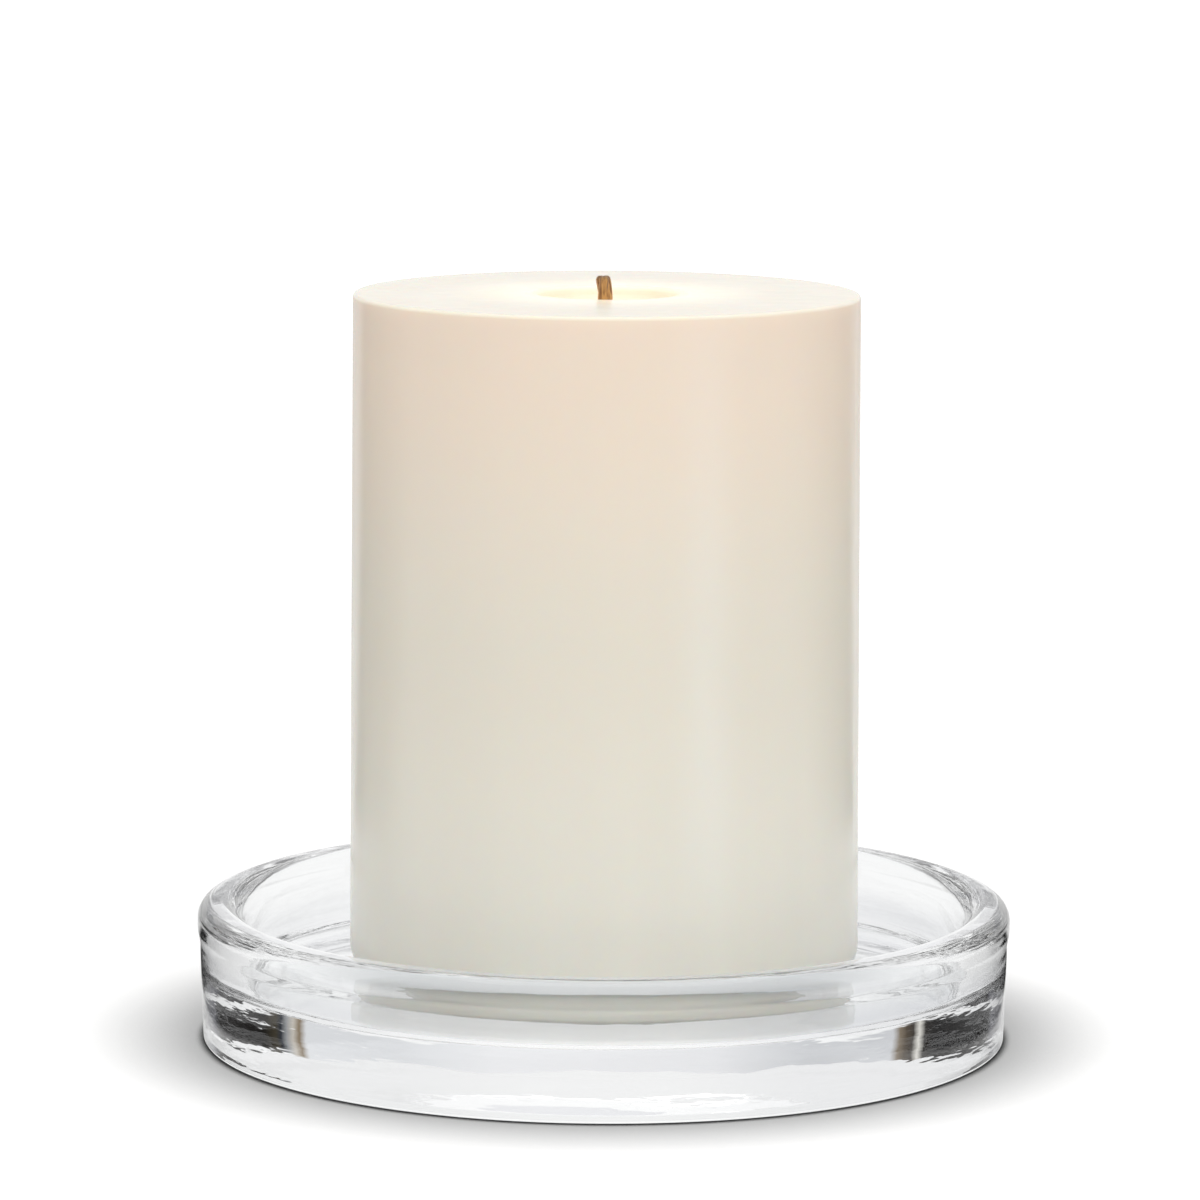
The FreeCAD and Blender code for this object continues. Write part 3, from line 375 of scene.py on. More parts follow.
def plate_profile(glass):
    """From the middle of the underside, up the wall and over the lip, to the middle of the floor."""
    hollow = 0.8 * MM
    hollow_flat = 20.0 * MM
    hollow_round = 30.0 * MM
    ring = 51.5 * MM
    wall_top = glass.height - glass.lip_drop
    lip_flare = 1.6 * MM
    corners = [
        (0, hollow, 0),
        (hollow_flat, hollow, hollow_round),
        (ring, 0, hollow_round),
        (glass.foot_radius, 0, 0.45 * MM),
        (glass.wall_radius, wall_top, 4.0 * MM),
        (glass.lip_radius, wall_top + lip_flare, 3.0 * MM),
        (glass.lip_radius, glass.height, glass.lip_round),
        (glass.mouth_radius, glass.height, glass.mouth_round),
        (glass.inner_radius, glass.floor, 1.8 * MM),
        (0, glass.floor, 0),
    ]
    return rounded_profile(corners, 1.2 * MM)


def pressing_ripple(glass):
    """Shallow ripples left by the press: long round the plate and short across it."""
    floor_edge = glass.inner_radius - 1.5 * MM

    def shift(point):
        reach = math.hypot(point.x, point.y)
        outward = Vector((point.x, point.y, 0)) / reach
        across = Vector((outward.x * 2.2, outward.y * 2.2, point.z * 260))
        along = Vector((outward.x * 9, outward.y * 9, reach * 120))
        wall = noise.noise(across) + 0.4 * noise.noise(along)
        flat = noise.noise(Vector((point.x * 55, point.y * 55, point.z * 40)))
        return (Vector((0, 0, flat)) if reach < floor_edge else outward * wall) * glass.ripple
    return shift


# Painted shade of the base low down at its sides and of the front lip, and the colour of lamplight that has come
# through the glass
BASE_PAINTED_SHADE = (0.86, 0.87, 0.885)
LIP_PAINTED_SHADE = (0.56, 0.58, 0.59)
LAMP_TINT = (0.79, 0.80, 0.80)


def clear_glass(glass):
    """Pressed glass with painted shade low down at the sides of the base, deeper at the right, and on the front lip,
    and lit through by the lamps.
    """
    material = new_material("clear_glass", glass.tint, 0.0, IOR=glass.ior, Transmission_Weight=1.0)
    ripple = add_noise(material, 60, 3.0, stretch=(1, 1, 6))
    add_bump(material, ripple, 0.3, 0.15 * MM)
    across, depth, height = axes_of(material)
    # Painted shade: the base greys low down towards both sides, more at the right
    low = add_range(material, height, 12 * MM, 15 * MM, 1, 0)
    right = add_math(material, "MULTIPLY", low, add_range(material, across, 6 * MM, 32 * MM, 0, 0.9))
    left = add_math(material, "MULTIPLY", low, add_range(material, across, -32 * MM, -6 * MM, 0.5, 0))
    tint = add_mix(material, add_math(material, "ADD", left, right), tuple(glass.tint), BASE_PAINTED_SHADE)
    # Painted shade: a grey band on the front of the lip, the side towards the camera
    front_lip_shade = add_math(material, "MULTIPLY", add_range(material, height, 17 * MM, 18.5 * MM, 0, 1),
                         add_range(material, depth, -54 * MM, -40 * MM, 1, 0))
    tint = add_mix(material, front_lip_shade, tint, LIP_PAINTED_SHADE)
    join(material, tint, shader_of(material).inputs["Base Color"])
    clear = add_node(material, "BsdfTransparent", {"Color": (*LAMP_TINT, 1)})
    shadow_ray = add_node(material, "LightPath").outputs["Is Shadow Ray"]
    surface = mix_shaders(material, shadow_ray, shader_of(material).outputs[0], clear.outputs[0])
    join(material, surface, material.node_tree.nodes["Material Output"].inputs["Surface"])
    return material


class CANDLE_PLATE_OT_glass(bpy.types.Operator):
    """Turns the glass plate, with the ripples of its pressing"""

    bl_idname = "candle_plate.glass"
    bl_label = "Press glass plate"

    def execute(self, context):
        glass = context.scene.candle_plate_glass
        plate = turned_object("pressed_plate", plate_profile(glass), 360, pressing_ripple(glass))
        dress(plate, clear_glass(glass))
        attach(plate, "plate")
        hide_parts("glass_plate")
        return {"FINISHED"}


# Wax pillar

def wax_profile():
    """From the hole in the crown, over the dish and down the side, to the cavity and back to the hole."""
    radius = WAX_HIGH.x
    top = WAX_HIGH.z
    clearance = 0.05 * MM
    foot = WAX_LOW.z + clearance
    hole = 6.0 * MM
    dish = 11.0 * MM
    dish_depth = 3.0 * MM
    dish_floor = top - dish_depth
    dish_steps = 16
    top_round = 0.6 * MM
    taper = 0.55 * MM
    top_radius = radius - taper
    foot_round = 5.0 * MM
    foot_inset = 3.04 * MM
    cavity = 33.2 * MM
    seat = 33.8 * MM
    seat_height = 13.0 * MM
    ceiling = top - 7.0 * MM
    ceiling_bevel = 4.0 * MM
    foot_fall = math.sqrt(foot_round**2 - (foot_round - foot_inset) ** 2)
    points = [(hole, ceiling), (hole, dish_floor - 0.1 * MM), (hole, dish_floor)]
    for step in range(1, dish_steps + 1):
        share = step / dish_steps
        rise = dish_depth * (1 - math.sqrt(1 - share**2))
        points.append((hole + (dish - hole) * share, dish_floor + rise))
    points += run_points(points[-1], (top_radius - top_round, top), 16)
    points += arc_points((top_radius - top_round, top - top_round), top_round, 90, 0, 6)[1:]
    points += run_points(points[-1], (radius, foot + foot_fall), 60)
    foot_degrees = -math.degrees(math.asin(foot_fall / foot_round))
    points += arc_points((radius - foot_round, foot + foot_fall), foot_round, 0, foot_degrees, 12)[1:]
    points += [(seat, foot), (seat, seat_height), (cavity, seat_height)]
    points += run_points(points[-1], (cavity, ceiling - ceiling_bevel), 6)
    points.append((cavity - ceiling_bevel, ceiling))
    points += run_points(points[-1], (hole, ceiling), 4)[:-1]
    return points + points[:1]


def wax_unevenness(point):
    """The slight hand-poured unevenness of the outside, inwards at nearly every point."""
    skin = 0.65 * MM
    depth = 0.06 * MM
    reach = math.hypot(point.x, point.y)
    if reach < WAX_HIGH.x - skin:
        return Vector((0, 0, 0))
    outward = Vector((point.x, point.y, 0)) / reach
    broad = noise.noise(Vector((point.x * 18, point.y * 18, point.z * 10)))
    return outward * (broad - 0.6) * depth


FLECK_COLOR = (0.90, 0.88, 0.84)
STREAK_COLOR = (0.70, 0.66, 0.56)


def ivory_wax(wax):
    """Translucent ivory wax with scuffs, flecks and the glow of the bulb; painted light makes it lighter at the foot,
    peach near the crown and pale on the top face.
    """
    material = new_material(
        "ivory_wax", wax.middle_color, 0.33, IOR=1.44, Subsurface_Weight=0.45, Subsurface_Scale=3.0 * MM,
        Subsurface_Radius=(1.0, 0.62, 0.38))
    shader = shader_of(material)
    height = axes_of(material)[2]
    cloud = add_noise(material, 45, 4.0)
    tall = WAX_HIGH.z - WAX_LOW.z
    lower = add_range(material, height, WAX_LOW.z, WAX_LOW.z + 0.55 * tall, 0, 1)
    upper = add_range(material, height, WAX_LOW.z + 0.5 * tall, WAX_HIGH.z - 1 * MM, 0, 1)
    crown = add_range(material, height, WAX_HIGH.z - 0.7 * MM, WAX_HIGH.z - 0.15 * MM, 0, 1)
    # Painted light by height: lighter at the foot, a warm peach glow up the shoulder, a pale top face
    color = add_mix(material, lower, wax.foot_color_and_light, wax.middle_color)
    color = add_mix(material, upper, color, wax.shoulder_glow_color)
    color = add_mix(material, crown, color, wax.crown_lit_color)
    flecks = add_flecks(material, 75, 0.35 * MM, 0.22)
    color = add_mix(material, add_math(material, "MULTIPLY", flecks, 0.5), color, FLECK_COLOR)
    streaks = add_noise(material, 130, 2.0, stretch=(1, 1, 0.03))
    shade = add_range(material, add_math(material, "ADD", cloud, streaks), 0.7, 1.3, 0, 0.10)
    color = add_mix(material, shade, color, STREAK_COLOR)
    join(material, color, shader.inputs["Base Color"])

    from_lens = add_node(material, "VectorMath", operation="DISTANCE")
    join(material, place_of(material), from_lens.inputs[0])
    from_lens.inputs[1].default_value = (0, 0, LENS_HIGH.z)
    glow = add_range(material, from_lens.outputs["Value"], 5 * MM, 34 * MM, 1, 0)
    glow = add_math(material, "POWER", glow, 2.2)
    join(material, add_math(material, "MULTIPLY", glow, wax.glow_strength), shader.inputs["Emission Strength"])
    shader.inputs["Emission Color"].default_value = (*wax.glow_color, 1)

    scuffs = add_noise(material, 90, 3.0, stretch=(1, 1, 0.4))
    join(material, add_range(material, scuffs, 0.35, 0.75, 0.20, 0.27), shader.inputs["Roughness"])
    add_bump(material, add_math(material, "ADD", scuffs, flecks), 0.1, 0.03 * MM)
    return material


class CANDLE_PLATE_OT_wax(bpy.types.Operator):
    """Pours the wax pillar"""

    bl_idname = "candle_plate.wax"
    bl_label = "Pour wax pillar"

    def execute(self, context):
        wax = context.scene.candle_plate_wax
        pillar = turned_object("wax_pillar", wax_profile(), 256, wax_unevenness)
        dress(pillar, ivory_wax(wax))
        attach(pillar, "candle")
        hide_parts("wax_shell")
        return {"FINISHED"}


# Wick, lens and bulb

# The three strands of the wick, with rounded tips that rise by a share of their radius
STRANDS = 3
STRAND_RADIUS = 0.70 * MM
TIP_RISE = 0.8


def strand_path(turn_start, low, high):
    """The middle line of one wick strand, wound nearly half a turn on its way up a slightly leaning wick."""
    reach = 0.48 * MM
    lean = -0.5 * MM
    twist = 0.9 * math.pi
    steps = 24
    points = []
    for step in range(steps + 1):
        share = step / steps
        angle = turn_start + share * twist
        points.append(Vector((reach * math.cos(angle) + lean * share, reach * math.sin(angle),
                              low + (high - low) * share)))
    return points


def tube_mesh(name, path, radius):
    """A closed tube along points that climb, with a rounded end at the top."""
    sides = 10
    builder = bmesh.new()
    rings = []
    stations = [(point, 1.0) for point in path]
    tip = path[-1]
    stations += [(tip + Vector((0, 0, radius * 0.5)), 0.82), (tip + Vector((0, 0, radius * TIP_RISE)), 0.45)]
    for point, share in stations:
        rings.append([
            builder.verts.new(point + Vector((math.cos(a), math.sin(a), 0)) * radius * share)
            for a in (2 * math.pi * side / sides for side in range(sides))
        ])
    for lower, upper in zip(rings, rings[1:]):
        for side in range(sides):
            following = (side + 1) % sides
            builder.faces.new((lower[side], lower[following], upper[following], upper[side]))
    builder.faces.new(reversed(rings[0]))
    builder.faces.new(rings[-1])
    bmesh.ops.recalc_face_normals(builder, faces=builder.faces)
    mesh = bpy.data.meshes.new(name)
    builder.to_mesh(mesh)
    builder.free()
    return smooth_object(name, mesh)


def wick_cotton():
    """Brown waxed cotton, darker at the tip, with pale fibres along it."""
    material = new_material("wick_cotton", (0.20, 0.10, 0.03), 0.55, Sheen_Weight=0.2)
    fibres = add_noise(material, 2600, 3.0, stretch=(1, 1, 0.12))
    color = add_mix(material, add_range(material, fibres, 0.35, 0.65, 0, 1), (0.17, 0.07, 0.018), (0.52, 0.28, 0.09))
    char = add_range(material, axes_of(material)[2], WICK_HIGH.z - 0.8 * MM, WICK_HIGH.z, 0, 0.4)
    color = add_mix(material, char, color, (0.035, 0.02, 0.01))
    join(material, color, shader_of(material).inputs["Base Color"])
    add_bump(material, fibres, 0.6, 0.1 * MM)
    return material


def glowing_lens():
    """The lit plug in the dish, so bright that its edge melts into the wax."""
    material = new_material("glowing_lens", (0.55, 0.50, 0.38), 0.35, IOR=1.45, Subsurface_Weight=0.3,
                            Subsurface_Scale=2 * MM, Subsurface_Radius=(1.0, 0.7, 0.45))
    shader = shader_of(material)
    shader.inputs["Emission Color"].default_value = (1.0, 0.80, 0.46, 1)
    frost = add_noise(material, 700, 2.0)
    join(material, add_range(material, frost, 0.3, 0.7, 0.42, 0.5), shader.inputs["Emission Strength"])
    return material


class CANDLE_PLATE_OT_wick(bpy.types.Operator):
    """Twists the wick from three strands and lights the lens and bulb below it"""

    bl_idname = "candle_plate.wick"
    bl_label = "Twist wick and light lens"

    def execute(self, context):
        cotton = wick_cotton()
        top = WICK_HIGH.z - STRAND_RADIUS * TIP_RISE
        for index in range(STRANDS):
            start = 2 * math.pi * index / STRANDS
            strand = tube_mesh(f"wick_strand_{index + 1}", strand_path(start, WICK_LOW.z, top), STRAND_RADIUS)
            dress(strand, cotton)
            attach(strand, "candle")
            if index == 0:
                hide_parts("wick")
        dress_nodes(glowing_lens(), "glow_lens")
        bulb = new_material("bulb_epoxy", (0.95, 0.86, 0.55), 0.12, IOR=1.5, Transmission_Weight=0.6,
                            Emission_Color=(1.0, 0.78, 0.42, 1), Emission_Strength=0.8)
        add_bump(bulb, add_noise(bulb, 900, 2.0), 0.1, 0.05 * MM)
        dress_nodes(bulb, "led_bulb")
        return {"FINISHED"}


# Moulded module

def moulded_plastic(name, color, roughness=0.45):
    """Plastic from a spark-eroded mould: fine grain in its gloss and surface."""
    material = new_material(name, color, roughness, IOR=1.46)
    shader = shader_of(material)
    grain = add_noise(material, 4200, 2.0)
    cloud = add_noise(material, 60, 3.0)
    darker = tuple(channel * 0.88 for channel in color)
    tone = add_mix(material, add_range(material, cloud, 0.35, 0.7, 0, 0.5), color, darker)
    join(material, tone, shader.inputs["Base Color"])
    join(material, add_range(material, grain, 0.3, 0.7, roughness - 0.06, roughness + 0.08), shader.inputs["Roughness"])
    add_bump(material, grain, 0.3, 0.04 * MM)
    return material


def mirrored_text(name, words, place, size, material, body):
    """Small raised words on the underside, to be read from below."""
    curve = bpy.data.curves.new(name, "FONT")
    curve.body = words
    curve.size = size
    curve.extrude = 0.06 * MM
    curve.align_x = "CENTER"
    curve.align_y = "CENTER"
    curve.materials.append(material)
    made = bpy.data.objects.new(name, curve)
    bpy.context.scene.collection.objects.link(made)
    made.matrix_world = Matrix.Translation(place) @ Matrix.Rotation(math.pi, 4, "X")
    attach(made, body)


class CANDLE_PLATE_OT_module(bpy.types.Operator):
    """Finishes the moulded housing, cover and battery door, and marks the switch's three stops"""

    bl_idname = "candle_plate.module"
    bl_label = "Finish module housing"

    def execute(self, context):
        module = context.scene.candle_plate_module
        ivory = moulded_plastic("ivory_plastic", tuple(module.plastic_color))
        dress_nodes(ivory, "base_housing", "module_cover", "battery_door")
        ink = new_material("raised_marks", (0.05, 0.05, 0.05), 0.5)
        add_bump(ink, add_noise(ink, 3000), 0.2, 0.03 * MM)
        knob_low, knob_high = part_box("switch_slider")
        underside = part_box("battery_door")[0].z
        beside_knob = (knob_low.y + knob_high.y) / 2
        below_knob = beside_knob - 4.2 * MM
        marks = (("ON", -8.4 * MM, beside_knob), ("OFF", 0.0, below_knob), ("TIMER", 10.0 * MM, beside_knob))
        for words, x, y in marks:
            mirrored_text(f"mark_{words.lower()}", words, (x, y, underside - 0.02 * MM), 2.2 * MM, ink,
                          "candle")
        return {"FINISHED"}


class CANDLE_PLATE_OT_cells(bpy.types.Operator):
    """Wraps the two cells in plain jackets and plates their contacts"""

    bl_idname = "candle_plate.cells"
    bl_label = "Wrap cells and plate contacts"

    def execute(self, context):
        module = context.scene.candle_plate_module
        jacket = new_material("cell_jacket", module.jacket_color, 0.28, Metallic=0.2, Coat_Weight=0.4)
        shader = shader_of(jacket)
        jacket_end = 24.6 * MM
        from_middle = add_math(jacket, "ABSOLUTE", axes_of(jacket)[0])
        bare = add_range(jacket, from_middle, jacket_end, jacket_end + 0.1 * MM, 0, 1)
        color = add_mix(jacket, bare, tuple(module.jacket_color), (0.62, 0.62, 0.60))
        join(jacket, color, shader.inputs["Base Color"])
        join(jacket, add_range(jacket, bare, 0, 1, 0.2, 1), shader.inputs["Metallic"])
        add_bump(jacket, add_noise(jacket, 800), 0.1, 0.03 * MM)
        dress_nodes(jacket, "battery_left", "battery_right")
        nickel = new_material("nickel_plate", (0.66, 0.64, 0.58), 0.25, Metallic=1.0)
        brushed = add_noise(nickel, 1500, 3.0, stretch=(1, 0.1, 1))
        join(nickel, add_range(nickel, brushed, 0.3, 0.7, 0.2, 0.36), shader_of(nickel).inputs["Roughness"])
        add_bump(nickel, brushed, 0.15, 0.02 * MM)
        dress_nodes(nickel, "positive_plate", "negative_plate", "bridge_plate", "led_legs")
        return {"FINISHED"}


class CANDLE_PLATE_OT_electronics(bpy.types.Operator):
    """Finishes the board, its components, the switch, the wires and the screws"""

    bl_idname = "candle_plate.electronics"
    bl_label = "Finish electronics"

    def execute(self, context):
        module = context.scene.candle_plate_module
        board = new_material("green_mask", module.board_color, 0.25, Coat_Weight=0.5)
        tracks = add_noise(board, 500, 1.0)
        shade = add_mix(board, add_range(board, tracks, 0.48, 0.52, 0, 0.6), tuple(module.board_color),
                        (0.05, 0.26, 0.11))
        join(board, shade, shader_of(board).inputs["Base Color"])
        dress_nodes(board, "circuit_board")
        black = moulded_plastic("black_plastic", tuple(module.switch_color), 0.42)
        dress_nodes(black, "switch_body", "switch_slider", "control_chip", "resistors")
        sleeve = new_material("can_sleeve", (0.03, 0.035, 0.07), 0.22, Coat_Weight=0.5)
        add_bump(sleeve, add_noise(sleeve, 900), 0.1, 0.03 * MM)
        dress_nodes(sleeve, "capacitor")
        for name, color, nodes in (
            ("red_insulation", (0.50, 0.025, 0.02), ("battery_wire_red",)),
            ("black_insulation", (0.02, 0.02, 0.02), ("battery_wire_black",)),
            ("white_insulation", (0.75, 0.74, 0.70), ("switch_wires", "led_wires")),
        ):
            dress_nodes(moulded_plastic(name, color, 0.38), *nodes)
        steel = new_material("screw_steel", (0.55, 0.55, 0.53), 0.3, Metallic=1.0)
        join(steel, add_range(steel, add_noise(steel, 1800), 0.3, 0.7, 0.22, 0.4), shader_of(steel).inputs["Roughness"])
        dress_nodes(steel, "cover_screws", "board_screws")
        return {"FINISHED"}


# Studio

WHITE = (1.0, 1.0, 1.0)
CANDLE_MIDDLE = (0, 0, 0.055)
SENSOR_WIDTH = 36

FLOOR_REACH = 6.0
FLOOR_DROP = 0.1 * MM
PLAIN_FLOOR = (0.78, 0.78, 0.78)
GLASS_FLOOR_LEVEL = 0.96

# The floor to the camera: a soft shadow, a dark line at the foot, and extra white from one distance to another
SHADOW_REACH = 0.022
SHADOW_SHARE = 0.2
CONTACT_REACH = 0.002
CONTACT_SHADE = (0.05, 0.05, 0.05)
NEAR_LIFT = (0.063, 0.085, 0, 0.14)
FAR_LIFT = (0.1, 1.6, 0, 0.4)

# The floor in gloss and glass: grey levels by bearing in degrees, 0 straight behind the plate
# Painted shadow that gloss finds on the floor right beside the plate, as dark levels by bearing
NEAR_FLOOR_SHADOW = (
    (-180, 0.1), (-72, 0.1), (-68, 0.02), (-52, 0.02), (-48, 1.0), (48, 1.0), (52, 0.02), (68, 0.02), (72, 0.1),
    (180, 0.1),
)
FAR_FLOOR = (
    (-180, 1.0), (-84, 0.9), (-76, 0.3), (-68, 0.1), (-38, 0.1), (-34, 1.0), (34, 1.0), (38, 0.1), (68, 0.1),
    (76, 0.3), (84, 0.9), (180, 1.0),
)
DEEP_FLOOR = (
    (-180, 1.0), (-86, 0.9), (-70, 0.12), (-40, 0.04), (-35, 0.5), (-20, 0.54), (-8, 0.93), (10, 0.93), (20, 0.70),
    (35, 0.66), (40, 0.04), (70, 0.12), (86, 0.9), (180, 1.0),
)
# Painted highlight: a bright stripe on the far floor that gloss alone sees, standing in for a softbox's reflection on
# the wax
FLOOR_HIGHLIGHT_STRIPE = (133 / 180, 139 / 180, 11 / 180)
HIGHLIGHT_STRIPE_COLOR = (1.5, 1.9, 2.4)

# The studio that gloss and glass see above the table: colours by bearing in degrees
STUDIO = (
    (-180.0, 0.8),
    (-82.0, (0.75, 0.75, 0.75)),
    (-76.0, (0.25, 0.25, 0.27)),
    (-67.0, (0.12, 0.12, 0.14)),
    (-65.6, (0.005, 0.004, 0.004)),
    (-41.8, (0.004, 0.003, 0.003)),
    (-38.4, (0.03, 0.025, 0.02)),
    (-38.0, (0.80, 0.78, 0.72)),
    (-37.3, (0.80, 0.76, 0.66)),
    (-36.9, (0.03, 0.025, 0.02)),
    (-34.8, (0.10, 0.075, 0.05)),
    (-33.2, (0.32, 0.26, 0.19)),
    (-32.6, (0.70, 0.71, 0.73)),
    (-20.0, (0.64, 0.65, 0.67)),
    (-10.0, (0.82, 0.82, 0.84)),
    (10.0, (0.86, 0.86, 0.88)),
    (20.0, (0.76, 0.77, 0.79)),
    (34.2, (0.80, 0.81, 0.83)),
    (34.8, (0.30, 0.23, 0.15)),
    (36.4, (0.14, 0.10, 0.06)),
    (36.7, (1.00, 0.96, 0.88)),
    (37.7, (1.00, 0.98, 0.92)),
    (38.1, (0.03, 0.05, 0.09)),
    (39.2, (0.02, 0.03, 0.05)),
    (40.0, (0.06, 0.05, 0.03)),
    (44.0, (0.005, 0.004, 0.003)),
    (65.6, (0.006, 0.004, 0.004)),
    (67.0, (0.12, 0.12, 0.14)),
    (76.0, (0.25, 0.25, 0.27)),
    (82.0, (0.75, 0.75, 0.75)),
    (180.0, 0.8),
)
STUDIO_BAND = (math.radians(10.0), math.radians(15.0), math.radians(0.4))
HIGH_WALL = (0.85, 0.85, 0.85)
FRONT_WALL = (0.88, 0.88, 0.88)
DARK_SIDES = (22 / 180, 168 / 180, 6 / 180)
DARK_SIDE = (0.02, 0.02, 0.02)


def before_matt(material, rays, kind):
    """Keeps a kind of ray only where nothing matt has scattered it on the way."""
    matt = add_math(material, "GREATER_THAN", rays.outputs["Diffuse Depth"], 0.5)
    return add_math(material, "MULTIPLY", kind, add_math(material, "SUBTRACT", 1.0, matt))


def reflections_past(material, rays, count):
    """1 for a ray that has been reflected more often than a count."""
    return add_math(material, "GREATER_THAN", rays.outputs["Glossy Depth"], count + 0.5)


def bearing_of(material, across, depth):
    """Bearing round the plate, 0 straight behind it and growing to the right, as a share of 180 degrees."""
    return add_math(material, "DIVIDE", add_math(material, "ARCTAN2", across, depth), math.pi)


def between(material, value, low, high, soft):
    """1 from low to high, falling to 0 over a soft edge on either side."""
    return add_math(material, "MULTIPLY", add_range(material, value, low - soft, low, 0, 1),
                    add_range(material, value, high, high + soft, 1, 0))


def bearing_ramp(material, bearing, bands):
    """Colours by bearing; bands are (degrees, colour or grey level) from -180 to 180."""
    node = add_node(material, "ValToRGB")
    for index, (degrees, color) in enumerate(bands):
        share = degrees / 360 + 0.5
        stop = node.color_ramp.elements[index] if index < 2 else node.color_ramp.elements.new(share)
        stop.position = share
        stop.color = (color, color, color, 1) if isinstance(color, float) else (*color, 1)
    join(material, add_range(material, bearing, -1, 1, 0, 1, smooth=False), node.inputs["Fac"])
    return node.outputs["Color"]


def floor_to_camera(material, stage, away):
    """The floor that the camera sees: white, with a soft shadow and a dark line at the plate's foot."""
    level = stage.floor_level
    dim = level * SHADOW_SHARE
    shadow = add_node(material, "AmbientOcclusion", {"Distance": SHADOW_REACH}, samples=8)
    shade = add_mix(material, shadow.outputs["AO"], (dim, dim, dim), (level, level, level))
    contact = add_node(material, "AmbientOcclusion", {"Distance": CONTACT_REACH}, samples=8)
    line = add_range(material, contact.outputs["AO"], 0.45, 0.85, 1, 0)
    matt = add_node(material, "BsdfDiffuse")
    join(material, add_mix(material, line, shade, CONTACT_SHADE), matt.inputs["Color"])
    lift = add_node(material, "Emission")
    lifts = add_math(material, "ADD", add_range(material, away, *NEAR_LIFT), add_range(material, away, *FAR_LIFT))
    join(material, lifts, lift.inputs["Strength"])
    lifted = add_node(material, "AddShader")
    join(material, matt.outputs[0], lifted.inputs[0])
    join(material, lift.outputs[0], lifted.inputs[1])
    return lifted.outputs[0]


def floor_to_gloss(material, across, away, bearing):
    """The floor in gloss: white behind and before the plate, painted shadow beside it, and a bright stripe at the
    right, a painted softbox reflection that gives the wax its highlight.
    """
    # Painted highlight: the bright stripe on the far floor
    far_look = add_mix(material, between(material, bearing, *FLOOR_HIGHLIGHT_STRIPE),
                       bearing_ramp(material, bearing, FAR_FLOOR), HIGHLIGHT_STRIPE_COLOR)
    # Painted shadow: the floor right beside the plate is dark for gloss
    beside = add_math(material, "MULTIPLY",
                      add_range(material, add_math(material, "ABSOLUTE", across), 0.066, 0.070, 0, 1),
                      add_range(material, away, 0.130, 0.140, 1, 0))
    look = add_mix(material, beside, WHITE, bearing_ramp(material, bearing, NEAR_FLOOR_SHADOW))
    look = add_mix(material, add_range(material, away, 0.18, 0.22, 0, 1), look, far_look)
    matt = add_node(material, "BsdfDiffuse")
    join(material, look, matt.inputs["Color"])
    return matt.outputs[0]


def floor_to_glass(material, rays, bearing):
    """The floor through glass: plain white, with dark sides for rays that were reflected twice."""
    pale = add_node(material, "Emission", {"Strength": GLASS_FLOOR_LEVEL})
    look = add_mix(material, reflections_past(material, rays, 1), WHITE, bearing_ramp(material, bearing, DEEP_FLOOR))
    join(material, look, pale.inputs["Color"])
    return pale.outputs[0]


def white_floor(stage):
    """White sweep that keeps the shadows. Gloss and glass find it white near the plate and dark to the sides."""
    material = bpy.data.materials.new("white_sweep")
    material.use_nodes = True
    nodes = material.node_tree.nodes
    nodes.remove(nodes["Principled BSDF"])
    rays = add_node(material, "LightPath")
    length = add_node(material, "VectorMath", operation="LENGTH")
    join(material, place_of(material), length.inputs[0])
    away = length.outputs["Value"]
    across, depth, _ = axes_of(material)
    bearing = bearing_of(material, across, depth)
    surface = add_node(material, "BsdfDiffuse", {"Color": (*PLAIN_FLOOR, 1)}).outputs[0]
    for ray, look in (
        ("Is Glossy Ray", floor_to_gloss(material, across, away, bearing)),
        ("Is Transmission Ray", floor_to_glass(material, rays, bearing)),
    ):
        surface = mix_shaders(material, before_matt(material, rays, rays.outputs[ray]), surface, look)
    surface = mix_shaders(material, rays.outputs["Is Camera Ray"], surface, floor_to_camera(material, stage, away))
    join(material, surface, nodes["Material Output"].inputs["Surface"])
    return material


def white_room(stage):
    """White to the eye and an even light on the object; gloss and glass see the studio round the table."""
    world = bpy.data.worlds.new("white_room")
    world.use_nodes = True
    split = add_node(world, "SeparateXYZ")
    join(world, add_node(world, "TexCoord").outputs["Generated"], split.inputs[0])
    rays = add_node(world, "LightPath")
    bearing = bearing_of(world, split.outputs["X"], split.outputs["Y"])
    turned = add_math(world, "ABSOLUTE", bearing)
    elevation = add_math(world, "ARCSINE", split.outputs["Z"])
    wall = add_mix(world, add_range(world, elevation, 0.2, 1.5, 0, 1), WHITE, HIGH_WALL)
    wall = add_mix(world, add_range(world, turned, 0.5, 0.6, 0, 1), wall, FRONT_WALL)
    dark = add_math(world, "MULTIPLY", reflections_past(world, rays, 1), between(world, turned, *DARK_SIDES))
    sides = add_mix(world, dark, bearing_ramp(world, bearing, STUDIO), DARK_SIDE)
    band = add_math(world, "MULTIPLY", between(world, elevation, *STUDIO_BAND), reflections_past(world, rays, 0))
    studio = add_mix(world, band, wall, sides)
    through = add_math(world, "MAXIMUM", rays.outputs["Is Transmission Ray"], rays.outputs["Is Glossy Ray"])
    color = add_mix(world, before_matt(world, rays, through), (stage.room_light,) * 3, studio)
    color = add_mix(world, rays.outputs["Is Camera Ray"], color, WHITE)
    join(world, color, world.node_tree.nodes["Background"].inputs["Color"])
    bpy.context.scene.world = world


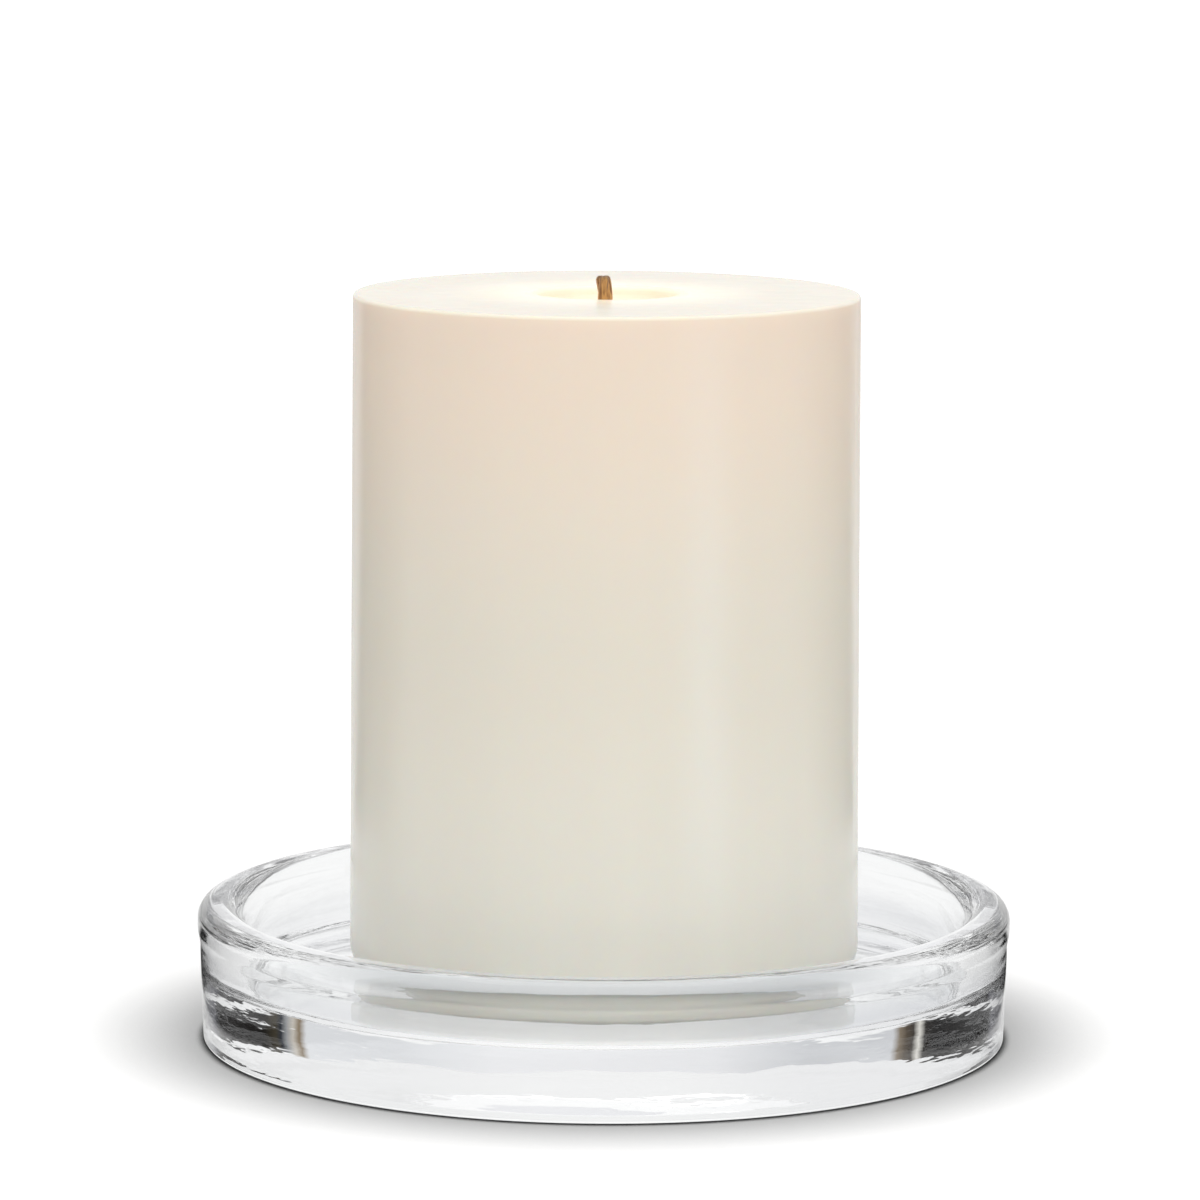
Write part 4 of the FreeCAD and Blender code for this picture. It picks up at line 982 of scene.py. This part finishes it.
def softbox(name, place, width, height, watts, mirrored):
    """A soft rectangular lamp that faces the candle; gloss and glass show it if it is mirrored."""
    lamp = bpy.data.lights.new(name, "AREA")
    lamp.shape = "RECTANGLE"
    lamp.size = width
    lamp.size_y = height
    lamp.energy = watts
    made = bpy.data.objects.new(name, lamp)
    bpy.context.scene.collection.objects.link(made)
    made.location = place
    made.rotation_euler = (Vector(CANDLE_MIDDLE) - Vector(place)).to_track_quat("-Z", "Y").to_euler()
    made.visible_glossy = mirrored
    made.visible_transmission = mirrored


class CANDLE_PLATE_OT_stage(bpy.types.Operator):
    """Lays the white floor and sets the room, the lamps and the camera"""

    bl_idname = "candle_plate.stage"
    bl_label = "Set stage"

    def execute(self, context):
        stage = context.scene.candle_plate_stage
        floor_mesh = bpy.data.meshes.new("floor")
        corners = [(x * FLOOR_REACH, y * FLOOR_REACH, -FLOOR_DROP) for x, y in ((-1, -1), (1, -1), (1, 1), (-1, 1))]
        floor_mesh.from_pydata(corners, [], [(0, 1, 2, 3)])
        floor = bpy.data.objects.new("floor", floor_mesh)
        context.scene.collection.objects.link(floor)
        floor.data.materials.append(white_floor(stage))
        white_room(stage)
        softbox("front_softbox", (-0.2, -1.5, 0.8), 1.2, 1.1, stage.front_light, mirrored=True)
        softbox("key_softbox", (0.62, -0.64, 0.42), 0.56, 0.36, stage.key_light, mirrored=False)
        softbox("fill_softbox", (-0.66, -0.64, 0.42), 0.26, 0.5, stage.fill_light, mirrored=False)
        softbox("top_softbox", (0.0, 0.1, 1.2), 1.0, 1.0, stage.top_light, mirrored=True)

        camera_data = bpy.data.cameras.new("camera")
        camera_data.sensor_width = SENSOR_WIDTH
        camera_data.lens = stage.camera_lens
        camera = bpy.data.objects.new("camera", camera_data)
        context.scene.collection.objects.link(camera)
        turn = Matrix.Rotation(math.pi / 2 - stage.camera_pitch, 4, "X") @ Matrix.Rotation(stage.camera_roll, 4, "Z")
        place = Vector((stage.camera_offset, -stage.camera_distance, stage.camera_height))
        camera.matrix_world = Matrix.Translation(place) @ turn
        context.scene.camera = camera
        context.scene.view_settings.view_transform = "Standard"

        # The lip and the base bend light so often that the renderer's usual limits would leave them black
        paths = context.scene.cycles
        paths.max_bounces = 24
        paths.glossy_bounces = 16
        paths.transmission_bounces = 24
        return {"FINISHED"}


class CANDLE_PLATE_PT_panel(bpy.types.Panel):
    """Lists the steps in order"""

    bl_label = "Candle plate"
    bl_idname = "CANDLE_PLATE_PT_panel"
    bl_space_type = "VIEW_3D"
    bl_region_type = "UI"
    bl_category = "Candle plate"

    def draw(self, context):
        for operator in OPERATORS:
            self.layout.operator(operator.bl_idname)


OPERATORS = (
    CANDLE_PLATE_OT_stage,
    CANDLE_PLATE_OT_glass,
    CANDLE_PLATE_OT_wax,
    CANDLE_PLATE_OT_wick,
    CANDLE_PLATE_OT_module,
    CANDLE_PLATE_OT_cells,
    CANDLE_PLATE_OT_electronics,
)
SETTINGS = {
    "candle_plate_glass": GlassSettings,
    "candle_plate_wax": WaxSettings,
    "candle_plate_module": ModuleSettings,
    "candle_plate_stage": StageSettings,
}


def register():
    """Adds the settings, the operators and the panel to Blender."""
    for name, group in SETTINGS.items():
        bpy.utils.register_class(group)
        setattr(bpy.types.Scene, name, bpy.props.PointerProperty(type=group))
    for operator in OPERATORS:
        bpy.utils.register_class(operator)
    bpy.utils.register_class(CANDLE_PLATE_PT_panel)


def unregister():
    """Takes them out again."""
    bpy.utils.unregister_class(CANDLE_PLATE_PT_panel)
    for operator in reversed(OPERATORS):
        bpy.utils.unregister_class(operator)
    for name, group in SETTINGS.items():
        delattr(bpy.types.Scene, name)
        bpy.utils.unregister_class(group)


def main():
    """Builds the whole scene in order."""
    register()
    bpy.ops.candle_plate.stage()
    bpy.ops.candle_plate.glass()
    bpy.ops.candle_plate.wax()
    bpy.ops.candle_plate.wick()
    bpy.ops.candle_plate.module()
    bpy.ops.candle_plate.cells()
    bpy.ops.candle_plate.electronics()


if __name__ == "__main__":
    main()
